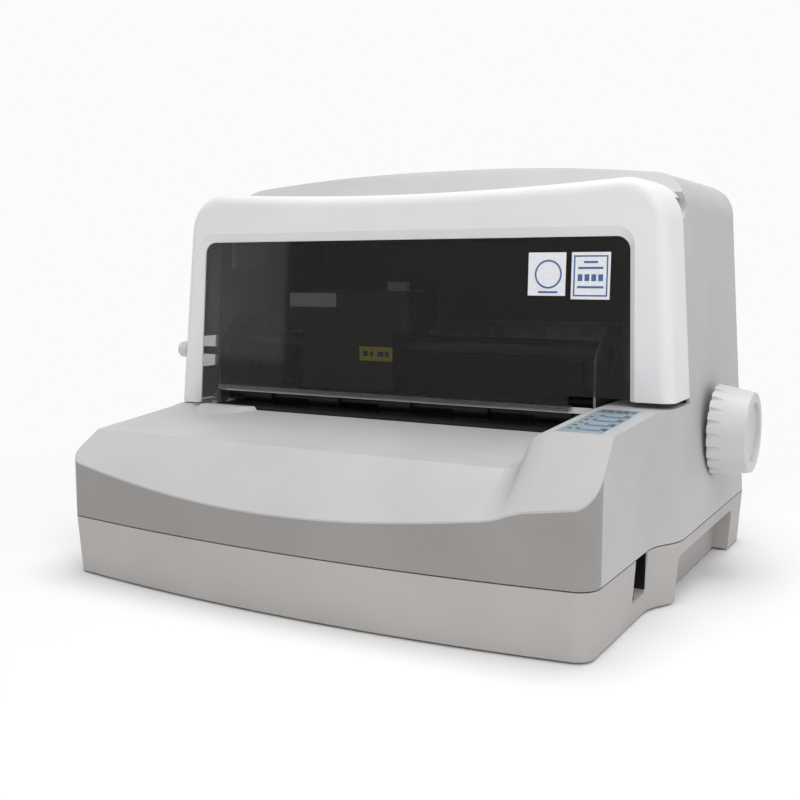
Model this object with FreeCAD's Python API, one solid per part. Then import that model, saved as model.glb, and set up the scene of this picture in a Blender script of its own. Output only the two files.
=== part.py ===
"""Flatbed dot matrix printer, built as an assembly of its separate pieces.

The frame: X to the right seen from the front, Y to the rear, Z up, in millimetres. The pieces are drawn
about the middle of the case, and moved at the end so that the origin lies on the surface that the
printer stands on, under the middle of its overall box with the knob and the lever.
"""
import FreeCAD, Part
import math
import os

# Case: the two shells and their seam
STAND = 1.5               # height of the lower case over the table, on its feet
DEPTH = 316.0             # from the front corners to the rear face
FRONT_HALF = 183.5        # half the width over the front wings, at the seam
SIDE_STEP = 11.5          # how far the rear body stands out past the wings, on either side
REAR_HALF = FRONT_HALF + SIDE_STEP
BOW = 14.0                # how far the front bulges forward of its corners
SEAM_Z = 39.5             # height of the seam between the two shells
SEAM_GAP = 0.8            # dark line between the shells
DRAFT_SHARE = 0.07        # how much the rear body's sides lean in, per height
CASE_WALL = 2.5
FRONT_CORNER_R = 13.0
REAR_CORNER_R = 14.0
STEP_START_Y = -62.0      # where the sides start to step out, behind the front wings
STEP_END_Y = -22.0        # where the step out ends
TRAY_TAPER = 2.5          # how far the lower case draws in at its bottom
TRAY_FLOOR = 3.0
LIP_HEIGHT = 4.0          # lip of the lower case inside the upper one
LIP_WALL = 1.2
LIP_CLEARANCE = 0.15
LIP_LEDGE = 0.3           # step back of the lip's inner face from the tray's
HOUSING_SPARE = 0.05      # how much wider than the plan the rear housing's front view is drawn
OVERRUN = 20.0            # how far cutting tools run past what they cut
SLIGHT = 0.01             # an overlap too small to see, which keeps faces from coinciding
NEAR = 0.1                # how close an edge lies to a face that it is picked by

# Deck: the paper table and the raised pod to its right
DECK_EDGE_Y = -130.0      # front top edge of the deck
TABLE_FRONT_Z = 94.0      # table height at that edge
TABLE_REAR_Y = -46.0      # rear edge of the table, at the paper slot
TABLE_REAR_Z = 102.0
POD_FRONT_Z = 116.5
POD_REAR_Z = 120.0        # pod height at the same place
POD_SHOULDER = 36.5       # from the top of the pod's flank to the right wing
POD_FLANK = 25.0          # width of the flank
POD_EDGE_X = FRONT_HALF - POD_SHOULDER
POD_START_X = POD_EDGE_X - POD_FLANK
NOSE_LEFT_Z = 72.5        # height of the sloped front face at the bow's tip: left end
NOSE_LOW_Z = 62.0         # its lowest point
NOSE_LOW_X = -18.0
NOSE_POD_FOOT_Z = 68.5    # below the foot of the pod's flank
NOSE_POD_EDGE_Z = 69.3
NOSE_RIGHT_Z = 67.0       # right end
NOSE_SHIFT_SHARE = 0.5    # how far back the face's inner side lies, per drop of the wall
FLANK_BEND_SHARE = 0.15   # bow of the pod flank's S, per rise
BAND_THICKNESS = 1.6      # front band trim
BAND_RIM = 0.8            # upper face standing over the band
BAND_END_Y = -146.0       # where the band ends on the sides

# Lead-in ramp at the left of the table
RAMP_FRONT_Y = -96.0
RAMP_INSET = 17.5         # from the left wing to the ramp
RAMP_WIDTH = 62.0
RAMP_TOP_WIDTH = 53.0
RAMP_DIAGONAL = 34.0      # from the ramp's left end to where its front edge slants back
RAMP_LEFT_X = RAMP_INSET - FRONT_HALF
RAMP_RIGHT_X = RAMP_LEFT_X + RAMP_WIDTH
RAMP_TOP_RIGHT_X = RAMP_LEFT_X + RAMP_TOP_WIDTH
RAMP_DIAGONAL_X = RAMP_LEFT_X + RAMP_DIAGONAL
RAMP_TOP_FRONT_Y = -62.0
RAMP_TOP_Z = 104.5
RAMP_RUN = 9.0            # slanted edges, seen from above

# Rear body and its arched roof
ROOF_MID_Z = 275.0
ROOF_SIDE_Z = 266.5
ROOF_SHOULDER = 45.0      # from the roof's side height to the rear body's side
ROOF_SIDE_X = REAR_HALF - ROOF_SHOULDER
ROOF_CORNER_R = 28.0
ROOF_REAR_R = 22.0
RAMP_ROOF_END_Y = 40.0    # where the rise behind the cover reaches the roof
ROOF_LIP_Z = 251.5        # roof height at the cover's rear edge

# Front cover
COVER_FACE_Y = -38.0      # front face at the bottom of the left leg
COVER_LEAN_SHARE = 0.04   # how far the face leans back, per height
COVER_REAR_Y = 2.0
COVER_GAP = 0.8           # to the rear body
COVER_TOP_Z = 260.5
COVER_DIP = 7.0           # how far the top edge sags in the middle
COVER_CORNER_R = 28.0
COVER_EDGE_R = 8.0
COVER_WALL = 2.5
LEFT_LEG_Z = 103.0
RIGHT_LEG_Z = 123.5
HINGE_Y = 0.0
HINGE_Z = 247.5
HINGE_SWEEP_R = 13.0      # rounded rear edge of the cover, about its hinge
APERTURE_TOP_Z = 223.5
LEFT_LEG_WIDTH = 23.0     # cover's legs beside the aperture, at their feet
RIGHT_LEG_WIDTH = 32.0
LEG_SPREAD = 4.5          # how much wider a leg is at the aperture's top
APERTURE_LEFT_FOOT = REAR_HALF - LEFT_LEG_WIDTH
APERTURE_RIGHT_FOOT = REAR_HALF - RIGHT_LEG_WIDTH
APERTURE_LEFT_TOP = APERTURE_LEFT_FOOT - LEG_SPREAD
APERTURE_RIGHT_TOP = APERTURE_RIGHT_FOOT - LEG_SPREAD
APERTURE_FOOT_Z = 103.0
APERTURE_R = 9.0
BEVEL_SIDE = 3.2
BEVEL_TOP = 6.0
BEVEL_DEPTH = 2.8
WINDOW_THICKNESS = 2.0
WINDOW_OVERLAP = 3.5
WINDOW_FOOT_Z = 114.0
WINDOW_LEG_WIDTH = 16.0   # pane's leg at the left, clear of the paper's edge
WINDOW_LEFT_LEG_Z = 105.0
WINDOW_RIGHT_LEG_Z = 124.5
STICKER_THICKNESS = 0.2
STICKER_LEFT_INSET = 65.7     # from the aperture's right edge at its top to the left sticker
STICKER_LEFT_X = APERTURE_RIGHT_TOP - STICKER_LEFT_INSET
STICKER_LEFT_WIDTH = 25.0
STICKER_LEFT_HEIGHT = 27.0
STICKER_RIGHT_INSET = 37.0
STICKER_RIGHT_X = APERTURE_RIGHT_TOP - STICKER_RIGHT_INSET
STICKER_RIGHT_WIDTH = 25.0
STICKER_RIGHT_HEIGHT = 29.0
STICKER_TOP_Z = 214.0

# Cover hinge
EAR_INSET = 37.0          # from the rear body's side to the inner face of its hinge ears
EAR_X = REAR_HALF - EAR_INSET
EAR_THICKNESS = 3.0
EAR_R = 6.0
EAR_NECK_FRONT_Y = -8.0
EAR_NECK_REAR_Y = 0.5
EAR_NECK_Z = 222.0
EAR_ARM_Z = 204.0
EAR_ARM_REAR_Y = 34.0
EAR_GAP = 0.5
HOLLOW_ANGLE = -40        # where the trough's arc behind the cover is held, seen from the hinge
PIN_R = 2.5
PIN_CLEARANCE = 0.05
PIN_HEAD = 1.0

# Mechanism: frames and guides
FRAME_LEFT_INSET = 35.0   # from the rear body's side to the left side frame's inner face
FRAME_RIGHT_INSET = 59.0
FRAME_LEFT_X = FRAME_LEFT_INSET - REAR_HALF
FRAME_RIGHT_X = REAR_HALF - FRAME_RIGHT_INSET
FRAME_THICKNESS = 1.6
FRAME_FRONT_Y = -26.0
FRAME_REAR_Y = 120.0
FRAME_TOP_Z = 168.0
FRAME_SHOULDER_Y = 70.0
BASE_Z = 10.0             # top of the chassis plate
BASE_THICKNESS = 1.6
BASE_FRONT_Y = -130.0
BASE_REAR_Y = 140.0
PAPER_Z = 103.5           # plane of the paper path
GUIDE_THICKNESS = 2.0
GUIDE_DROP = 0.6          # guide plates lie this far below the paper
RUN_GAP = 0.3             # running gap between pieces that move past each other
GUIDE_MARGIN = 1.0        # round the rollers, in the guide's windows
BUSH_CLEARANCE = 0.05     # radial, shaft in bush
BUSH_R = 6.5
BUSH_FLANGE = 1.5
TIE_BAR_Y = 104.0
TIE_BAR_Z = 140.0
TIE_BAR_DEPTH = 12.0
TIE_BAR_HEIGHT = 24.0
TIE_BAR_SHEET = 1.5
STRIP_Y = -29.0
STRIP_Z = 113.0
STRIP_HEIGHT = 4.0
STRIP_DEPTH = 6.0
STRIP_SHEET = 1.0

# Feed rollers, their gears and the knob
SHAFT_R = 4.0
ROLLER_R = 7.0
REAR_AXIS_Y = 57.0
FRONT_AXIS_Y = -14.0
PINCH_R = 5.0
PINCH_SHAFT_R = 2.0
ROLLER_COUNT = 5
ROLLER_LENGTH = 26.0
FEED_TEETH = 20
IDLER_TEETH = 30
PINION_TEETH = 12
GEAR_WIDTH = 5.0
GEAR_GAP = 3.0            # from the frame to the gears
ADDENDUM_SHARE = 0.75     # tooth height over the pitch circle, per module
DEDENDUM_SHARE = 1.1
TOOTH_ROOT_SHARE = 0.34   # half a tooth's width at its root, per pitch
TOOTH_TIP_SHARE = 0.11    # half its width at its tip
IDLER_STUD_R = 3.0
FEED_MOTOR_R = 18.0
FEED_MOTOR_LENGTH = 30.0
FEED_MOTOR_SHAFT_R = 2.0
KNOB_BASE_R = 31.0
KNOB_FACE_R = 26.5
KNOB_LENGTH = 24.0
KNOB_GAP = 1.2            # from the case side to the knob
KNOB_COLLAR = 8.0         # smooth stretch in front of the grip ribs
KNOB_GROOVES = 22
KNOB_GROOVE_R = 2.2
KNOB_DISH_R = 20.0
KNOB_DISH_DEPTH = 2.5
KNOB_WALL = 2.5
KNOB_HUB_R = 7.5
KNOB_HOLE_CLEARANCE = 1.5 # case hole round the knob's shaft

# Print bed
BED_FRONT_Y = 4.0
BED_REAR_Y = 34.0
BED_SHEET = 1.5
BED_HEIGHT = 12.0
STRIP_RUBBER = 1.0
STRIP_RUBBER_WIDTH = 10.0

# Carriage, print head and ribbon
RAIL_Y = 2.0
RAIL_Z = 149.5
RAIL_R = 6.0
CARRIAGE_X = -52.0        # centre of the carriage as it stands
CARRIAGE_HALF = 38.0
CARRIAGE_FRONT_Y = -17.0
CARRIAGE_REAR_Y = 38.0
CARRIAGE_LOW_Z = 136.0
CARRIAGE_TOP_Z = 160.0
CARRIAGE_APRON_Z = 118.0
CARRIAGE_SHEET = 3.0
HEAD_Y = 19.0
HEAD_R = 13.0
HEAD_FIN_R = 17.0
HEAD_FINS = 5
HEAD_FIN_THICKNESS = 1.6
HEAD_FIN_PITCH = 4.0
HEAD_LOW_Z = 114.0
HEAD_NOSE_R = 5.0
HEAD_CONE_SHARE = 0.7     # the nose's root, of the barrel
HEAD_NOSE_GAP = 1.2       # from the nose's tip to the paper plane
RIBBON_HALF = 52.0
RIBBON_FRONT_Y = -19.0
RIBBON_REAR_Y = 33.0
RIBBON_TOP_Z = 188.0
RIBBON_R = 8.0
RIBBON_KNOB_R = 8.0
RIBBON_KNOB_HEIGHT = 6.0
RIBBON_KNOB_X = 30.0      # from the carriage's centre
RIBBON_KNOB_Y = 6.0
RIBBON_SPINDLE_R = 2.5
RIBBON_KNOB_GRIPS = 12
RIBBON_KNOB_NOTCH_R = 1.0
LABEL_THICKNESS = 0.2
LABEL_X = -41.0
LABEL_WIDTH = 27.0
LABEL_TOP_Z = 149.0
LABEL_HEIGHT = 10.0
PLATE_X = -99.0
PLATE_WIDTH = 40.0
PLATE_TOP_Z = 186.5
PLATE_HEIGHT = 10.0

# Timing belt
BELT_Y = 56.0
BELT_Z = 150.0
BELT_WIDTH = 6.0
BELT_THICKNESS = 1.2
PULLEY_R = 8.0
PULLEY_FLANGE = 1.0
PULLEY_FLANGE_R = 10.5
PULLEY_INSET = 18.0       # pulley axes from the side frames
PULLEY_SHAFT_R = 2.5
BELT_MOTOR_R = 17.5
BELT_MOTOR_LENGTH = 26.0
BRACKET_HALF = 12.0       # half the depth of the brackets that carry the motor and the idler
CLAMP_HALF = 8.0
CLAMP_WALL = 2.0

# Gap lever on the left
LEVER_PIVOT_Y = 12.0
LEVER_PIVOT_Z = 130.0
LEVER_TIP_Y = -24.0
LEVER_TIP_Z = 142.0
LEVER_THICKNESS = 3.0
LEVER_WIDTH = 6.0
LEVER_HUB_R = 7.0
LEVER_PIN_R = 3.0
LEVER_KNOB_R = 6.0
LEVER_KNOB_LENGTH = 9.0
LEVER_REACH = 2.0         # from the cover's side to the knob
LEVER_SLOT_HALF = 12.0
LEVER_SLOT_DROP = 2.0
LEVER_SLOT_MARGIN = 6.0

# Control panel
PANEL_MARGIN = 2.0        # from the pod's flank to the film
PANEL_WIDTH = 26.0
PANEL_FRONT = 4.0         # from the deck's front edge to the film
PANEL_LENGTH = 76.0
PANEL_FILM = 0.6
BUTTONS = 4
BUTTON_LENGTH = 9.0
BUTTON_WIDTH = 11.0
BUTTON_RISE = 0.8
BUTTON_PITCH = 14.0
BUTTON_FIRST = 12.0       # from the film's front to the first button's middle
BUTTON_GAP = 0.35
BUTTON_STEM = 4.0
BUTTON_DEPTH = 6.0
BUTTON_TRAVEL = 0.8
LENSES = 5
LENS_R = 1.5
LENS_PITCH = 9.0
LENS_INSET = 4.0          # from the film's left edge
PANEL_BOARD = 1.6

# Power switch in the lower case
SWITCH_Y = -73.5
SWITCH_WIDTH = 23.0
SWITCH_LOW_Z = 16.0
SWITCH_DEPTH = 10.0
SWITCH_LEDGE_SHARE = 0.25 # fall of the pocket's floor, per depth
SWITCH_BODY_WIDTH = 15.0
SWITCH_BODY_HEIGHT = 20.0
SWITCH_BODY_DEPTH = 16.0
ROCKER_R = 9.0
ROCKER_RISE = 2.0
ROCKER_WALL = 1.5
ROCKER_GAP = 0.4
ROCKER_PIN_R = 1.5
ROCKER_TILT = 6.0         # degrees from level to either end

# Grips, feet, posts and screws
GRIP_FRONT_Y = -30.0
GRIP_REAR_Y = 112.0
GRIP_TOP_Z = 31.0
GRIP_DEPTH = 13.0
GRIP_R = 5.0
FOOT_R = 9.0
FOOT_POCKET = 1.0
FOOT_INSET_X = 34.0
FOOT_INSET_Y = 26.0
POST_R = 5.0
POST_INSET = 15.5         # from the front wings to the screw posts
POST_X = FRONT_HALF - POST_INSET
POST_FRONT_Y = -138.0
POST_REAR_Y = 136.0
SCREW_R = 1.5
SCREW_HEAD_R = 3.0
SCREW_HEAD = 2.4
SCREW_RECESS = 6.0
SCREW_CLEARANCE = 0.15
SCREW_ENGAGEMENT = 12.0
CHASSIS_POST_R = 4.0

# Electrics
BOARD_LEFT_X = -150.0
BOARD_RIGHT_X = 60.0
BOARD_FRONT_Y = -118.0
BOARD_REAR_Y = -48.0
BOARD_RISE = 6.0
BOARD_THICKNESS = 1.6
CHIP_SIZES = ((-120.0, -90.0, 28.0, 28.0, 3.0), (-70.0, -95.0, 20.0, 14.0, 4.0), (-35.0, -95.0, 20.0, 14.0, 4.0),
              (-120.0, -58.0, 40.0, 9.0, 9.0), (20.0, -90.0, 34.0, 30.0, 14.0))
SUPPLY_LEFT_X = -148.0
SUPPLY_RIGHT_X = -20.0
SUPPLY_FRONT_Y = 72.0
SUPPLY_REAR_Y = 134.0
SUPPLY_TOP_Z = 62.0
SUPPLY_SHEET = 1.2
TRANSFORMER_GAP = 8.0
INLET_X = -120.0
INLET_Z = 62.0
INLET_WIDTH = 27.0
INLET_HEIGHT = 20.0
INLET_DEPTH = 22.0
INLET_FLANGE = 3.0
INLET_FLANGE_THICKNESS = 1.5
INLET_BORE_WALL = 2.5
INLET_BORE_DEPTH = 16.0
PRONG_WIDTH = 4.0
PRONG_THICKNESS = 2.0
PRONG_LENGTH = 12.0
PORT_X = 70.0
PORT_Z = 62.0
PORT_WIDTH = 62.0
PORT_HEIGHT = 12.0
PORT_DEPTH = 14.0
PORT_RIM = 2.0
USB_X = 128.0
USB_SIZE = 12.0
USB_DEPTH = 16.0
USB_RIM = 1.5
REAR_SLOT_LEFT_X = -140.0
REAR_SLOT_RIGHT_X = 118.0
REAR_SLOT_HEIGHT = 12.0
REAR_SLOT_DROP = 4.0

# Worked out from the sizes above
FRONT_Y = -DEPTH / 2
REAR_Y = DEPTH / 2
TABLE_SLOPE = (TABLE_REAR_Z - TABLE_FRONT_Z) / (TABLE_REAR_Y - DECK_EDGE_Y)
POD_SLOPE = (POD_REAR_Z - POD_FRONT_Z) / (TABLE_REAR_Y - DECK_EDGE_Y)
BODY_FRONT_Y = COVER_REAR_Y + COVER_GAP
FEED_AXIS_Z = PAPER_Z - ROLLER_R
PINCH_AXIS_Z = PAPER_Z + RUN_GAP + PINCH_R
IDLER_AXIS_Y = (REAR_AXIS_Y + FRONT_AXIS_Y) / 2
MODULE = (REAR_AXIS_Y - FRONT_AXIS_Y) / (FEED_TEETH + IDLER_TEETH)
PINION_AXIS_Z = FEED_AXIS_Z - MODULE * (PINION_TEETH + IDLER_TEETH) / 2
GEAR_X = FRAME_LEFT_X - FRAME_THICKNESS - GEAR_GAP - GEAR_WIDTH
MECH_LEFT_X = FRAME_LEFT_X - FRAME_THICKNESS
MECH_RIGHT_X = FRAME_RIGHT_X + FRAME_THICKNESS
PULLEY_LEFT_X = FRAME_LEFT_X + PULLEY_INSET
PULLEY_RIGHT_X = FRAME_RIGHT_X - PULLEY_INSET
BAY_LEFT_X = -APERTURE_LEFT_FOOT
BAY_RIGHT_X = POD_EDGE_X - PANEL_MARGIN
KNOB_X = REAR_HALF - (FEED_AXIS_Z - KNOB_BASE_R - SEAM_Z) * DRAFT_SHARE + KNOB_GAP
TRAY_WALL = CASE_WALL + LIP_CLEARANCE + LIP_WALL
SHELL_LOW_Z = SEAM_Z + SEAM_GAP / 2
TRAY_TOP_Z = SEAM_Z - SEAM_GAP / 2
SWEEP_R = HINGE_SWEEP_R + COVER_GAP
LEVER_X = MECH_LEFT_X - RUN_GAP - LEVER_THICKNESS
BRACKET_TOP_Z = BELT_Z - BELT_WIDTH / 2 - RUN_GAP - PULLEY_FLANGE - RUN_GAP


def vec(x, y, z):
    return FreeCAD.Vector(x, y, z)


def case_half(base_half, z):
    """Half width of the drafted case at a height, from its half width at the seam."""
    return base_half - (z - SEAM_Z) * DRAFT_SHARE


def cover_face_y(z):
    return COVER_FACE_Y + (z - LEFT_LEG_Z) * COVER_LEAN_SHARE


def table_z(y):
    return TABLE_FRONT_Z + (y - DECK_EDGE_Y) * TABLE_SLOPE


def pod_z(y):
    return POD_FRONT_Z + (y - DECK_EDGE_Y) * POD_SLOPE


def block(x, y, z):
    """A box from its three spans."""
    low = vec(min(x), min(y), min(z))
    return Part.makeBox(abs(x[1] - x[0]), abs(y[1] - y[0]), abs(z[1] - z[0]), low)


def rod_x(x, y, z, radius):
    return Part.makeCylinder(radius, x[1] - x[0], vec(x[0], y, z), vec(1, 0, 0))


def rod_y(x, y, z, radius):
    return Part.makeCylinder(radius, y[1] - y[0], vec(x, y[0], z), vec(0, 1, 0))


def rod_z(x, y, z, radius):
    return Part.makeCylinder(radius, z[1] - z[0], vec(x, y, z[0]), vec(0, 0, 1))


def fuse(shapes):
    whole = shapes[0]
    for shape in shapes[1:]:
        whole = whole.fuse(shape)
    return whole.removeSplitter()


def closed_wire(steps, place):
    """A wire through plane points; a step of two points is an arc, by its middle and its end."""
    edges = []
    last = steps[0]
    for step in list(steps[1:]) + [steps[0]]:
        if isinstance(step[0], tuple):
            middle, end = step
            edges.append(Part.Arc(place(*last), place(*middle), place(*end)).toShape())
            last = end
        elif place(*last).distanceToPoint(place(*step)) > 0:
            edges.append(Part.makeLine(place(*last), place(*step)))
            last = step
    return Part.Wire(edges)


def prism_y(steps, y0, y1):
    """Outline in X and Z, drawn out along Y."""
    wire = closed_wire(steps, lambda x, z: vec(x, y0, z))
    return Part.Face(wire).extrude(vec(0, y1 - y0, 0))


def prism_x(steps, x0, x1):
    """Outline in Y and Z, drawn out along X."""
    wire = closed_wire(steps, lambda y, z: vec(x0, y, z))
    return Part.Face(wire).extrude(vec(x1 - x0, 0, 0))


def prism_z(steps, z0, z1):
    wire = closed_wire(steps, lambda x, y: vec(x, y, z0))
    return Part.Face(wire).extrude(vec(0, 0, z1 - z0))


def round_edges(shape, radius, wanted):
    edges = [edge for edge in shape.Edges if wanted(edge)]
    return shape.makeFillet(radius, edges)


def runs_along(edge, axis):
    """True for a straight edge along one of the axes, named x, y or z."""
    if len(edge.Vertexes) < 2:
        return False
    step = edge.Vertexes[1].Point - edge.Vertexes[0].Point
    return step.Length > 0 and abs(getattr(step, axis)) > step.Length * (1 - 1e-6)


def plan_steps(inset, front_half, rear_half):
    """Plan of the case: bowed front, rounded corners and the step out of the sides."""
    a, b = front_half - inset, rear_half - inset
    y0, y1 = FRONT_Y + inset, REAR_Y - inset
    corner, back = FRONT_CORNER_R - inset, REAR_CORNER_R - inset
    bow_r = (a * a + BOW * BOW) / (2 * BOW)
    bow_y = y0 - BOW + bow_r
    cx = a - corner
    cy = bow_y - math.sqrt((bow_r - corner) ** 2 - cx ** 2)
    start = math.atan2(cy - bow_y, cx)
    touch = (bow_r * math.cos(start), bow_y + bow_r * math.sin(start))
    half_turn = start / 2
    mid = (cx + corner * math.cos(half_turn), cy + corner * math.sin(half_turn))
    out, length = b - a, STEP_END_Y - STEP_START_Y
    swing_r = (out ** 2 + length ** 2) / (4 * out)
    turn = math.asin(length / 2 / swing_r)
    s1 = (a + swing_r * (1 - math.cos(turn / 2)), STEP_START_Y + swing_r * math.sin(turn / 2))
    s2 = ((a + b) / 2, (STEP_START_Y + STEP_END_Y) / 2)
    s3 = (b - swing_r * (1 - math.cos(turn / 2)), STEP_END_Y - swing_r * math.sin(turn / 2))
    slant = back * math.sqrt(0.5)
    rear_mid = (b - back + slant, y1 - back + slant)

    def flip(p):
        return (-p[0], p[1])

    return [flip(touch), ((0, y0 - BOW), touch), (mid, (a, cy)), (a, STEP_START_Y), (s1, s2),
            (s3, (b, STEP_END_Y)), (b, y1 - back), (rear_mid, (b - back, y1)), (-b + back, y1),
            (flip(rear_mid), (-b, y1 - back)), (-b, STEP_END_Y), (flip(s3), flip(s2)),
            (flip(s1), (-a, STEP_START_Y)), (-a, cy), (flip(mid), flip(touch))]


def plan_solid(levels):
    """The case outline lofted through levels, each (z, inset, front half, rear half)."""
    wires = []
    for z, inset, front_half, rear_half in levels:
        steps = plan_steps(inset, front_half, rear_half)
        wires.append(closed_wire(steps, lambda x, y, z=z: vec(x, y, z)))
    return Part.makeLoft(wires, True, True)


def upper_plan(inset, z0, z1):
    return plan_solid([(z, inset, FRONT_HALF, case_half(REAR_HALF, z)) for z in (z0, z1)])


def deck_profile(y, left_z, low_z, foot_z, edge_z, right_z):
    """Wire across the printer at one depth: the deck's surface and a far box above it."""
    span = REAR_HALF + OVERRUN
    sky = ROOF_MID_Z + OVERRUN
    run, rise = POD_EDGE_X - POD_START_X, edge_z - foot_z
    bend = FLANK_BEND_SHARE * rise
    middle = (POD_START_X + run / 2, foot_z + rise / 2)
    steps = [(-span, left_z), ((NOSE_LOW_X, low_z), (POD_START_X, foot_z)),
             ((POD_START_X + run / 4, foot_z + rise / 4 - bend), middle),
             ((POD_EDGE_X - run / 4, edge_z - rise / 4 + bend), (POD_EDGE_X, edge_z)),
             (span, right_z), (span, sky), (-span, sky)]
    return closed_wire(steps, lambda x, z: vec(x, y, z))


def level_profile(y, table, pod):
    """Deck profile with a table that is flat across, but for an arc too slight to see."""
    return deck_profile(y, table, table - SLIGHT, table, pod, pod)


def nose_at(tip, edge, y):
    """Height of the sloped front face, drawn on from the bow's tip and the deck's edge."""
    tip_y = FRONT_Y - BOW
    return edge + (tip - edge) * (DECK_EDGE_Y - y) / (DECK_EDGE_Y - tip_y)


def above_deck(drop, back_y):
    """Tools for all that lies over the deck and its sloped front face, lowered by a wall."""
    far = FRONT_Y - BOW - OVERRUN
    edge = level_profile(DECK_EDGE_Y, TABLE_FRONT_Z, POD_FRONT_Z)
    rear = level_profile(TABLE_REAR_Y, TABLE_REAR_Z, POD_REAR_Z)
    front = deck_profile(far, nose_at(NOSE_LEFT_Z, TABLE_FRONT_Z, far),
                         nose_at(NOSE_LOW_Z, TABLE_FRONT_Z, far),
                         nose_at(NOSE_POD_FOOT_Z, TABLE_FRONT_Z, far),
                         nose_at(NOSE_POD_EDGE_Z, POD_FRONT_Z, far),
                         nose_at(NOSE_RIGHT_Z, POD_FRONT_Z, far))
    slope = Part.makeLoft([front, edge], True, True)
    top = Part.makeLoft([edge, rear], True, True)
    flat = Part.Face(rear).extrude(vec(0, back_y - TABLE_REAR_Y, 0))
    slope.translate(vec(0, drop * NOSE_SHIFT_SHARE, -drop))
    top.translate(vec(0, 0, -drop))
    flat.translate(vec(0, 0, -drop))
    return [slope, top, flat]


def below_deck(inset, drop, z0, back_y):
    """The case's front part under the deck, as a solid."""
    body = upper_plan(inset, z0, ROOF_MID_Z + OVERRUN)
    wide = REAR_HALF + OVERRUN
    body = body.common(block((-wide, wide), (FRONT_Y - BOW - OVERRUN, back_y), (z0, ROOF_MID_Z)))
    for tool in above_deck(drop, BODY_FRONT_Y + OVERRUN):
        body = body.cut(tool)
    return body


def roof_front_steps(inset, z0):
    """Front view of the rear body: drafted sides and an arched roof."""
    sag = ROOF_MID_Z - ROOF_SIDE_Z
    arch_r = (ROOF_SIDE_X ** 2 + sag ** 2) / (2 * sag)
    top_half = case_half(REAR_HALF, ROOF_SIDE_Z) + HOUSING_SPARE
    corner_z = ROOF_MID_Z - arch_r + math.sqrt(arch_r ** 2 - top_half ** 2)
    low_half = case_half(REAR_HALF, z0) + HOUSING_SPARE - inset
    return [(-low_half, z0), (-top_half + inset, corner_z - inset),
            ((0, ROOF_MID_Z - inset), (top_half - inset, corner_z - inset)), (low_half, z0)]


def hinge_arc(radius, angle):
    turn = math.radians(angle)
    return (HINGE_Y + radius * math.cos(turn), HINGE_Z + radius * math.sin(turn))


def roof_side_steps(inset, z0):
    """Side view of the rear body: the trough behind the cover, the rise and the roof."""
    radius = SWEEP_R + inset
    lip_z = ROOF_LIP_Z - inset
    lip_y = HINGE_Y + math.sqrt(radius ** 2 - (lip_z - HINGE_Z) ** 2)
    rear, top = REAR_Y - inset, ROOF_MID_Z - inset
    front = BODY_FRONT_Y - (SLIGHT if inset else 0)
    dip = math.sqrt(radius ** 2 - (front - HINGE_Y) ** 2)
    return [(front, z0), (front, HINGE_Z - dip), (hinge_arc(radius, HOLLOW_ANGLE), (lip_y, lip_z)),
            (RAMP_ROOF_END_Y, top), (rear, top), (rear, z0)]


def housing_form(inset, z0):
    """The rear housing between its front view and its side view, wider than the case's plan."""
    back = REAR_Y + OVERRUN
    front = prism_y(roof_front_steps(inset, z0), FRONT_Y, back)
    shoulder = [v.Point for v in front.Vertexes]
    corner_z = max(p.z for p in shoulder)
    front = round_edges(front, ROOF_CORNER_R - inset,
                        lambda e: runs_along(e, "y") and abs(e.CenterOfMass.z - corner_z) < SLIGHT)
    wide = REAR_HALF + OVERRUN
    side = prism_x(roof_side_steps(inset, z0), -wide, wide)
    top = ROOF_MID_Z - inset
    side = round_edges(side, ROOF_REAR_R - inset,
                       lambda e: runs_along(e, "x") and abs(e.CenterOfMass.z - top) < SLIGHT)
    return front.common(side)


def housing(inset, z0):
    return upper_plan(inset, z0, ROOF_MID_Z + OVERRUN).common(housing_form(inset, z0))


def case_form():
    """The whole upper case as a solid: the deck in front and the housing behind it."""
    wide, sky = REAR_HALF + OVERRUN, ROOF_MID_Z + OVERRUN
    ahead = block((-wide, wide), (FRONT_Y - BOW - OVERRUN, BODY_FRONT_Y), (SHELL_LOW_Z, sky))
    form = upper_plan(0, SHELL_LOW_Z, sky).common(fuse([housing_form(0, SHELL_LOW_Z), ahead]))
    for tool in above_deck(0, BODY_FRONT_Y):
        form = form.cut(tool)
    return form


def table_ramp():
    """Lead-in at the left of the table: a low wedge with a slanted front."""
    foot_z, top_z = TABLE_FRONT_Z, RAMP_TOP_Z
    back = TABLE_REAR_Y
    low = [(RAMP_LEFT_X, RAMP_TOP_FRONT_Y), (RAMP_DIAGONAL_X, RAMP_FRONT_Y),
           (RAMP_TOP_RIGHT_X, RAMP_TOP_FRONT_Y), (RAMP_RIGHT_X, back), (RAMP_LEFT_X, back)]
    high_left = RAMP_LEFT_X + RAMP_RUN
    high = [(high_left, RAMP_TOP_FRONT_Y + RAMP_RUN), (high_left + RAMP_RUN, RAMP_TOP_FRONT_Y + RAMP_RUN),
            (RAMP_TOP_RIGHT_X - RAMP_RUN, back - RAMP_RUN), (RAMP_TOP_RIGHT_X, back), (high_left, back)]
    wires = [closed_wire(low, lambda x, y: vec(x, y, foot_z)), closed_wire(high, lambda x, y: vec(x, y, top_z))]
    return Part.makeLoft(wires, True, True)


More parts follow.
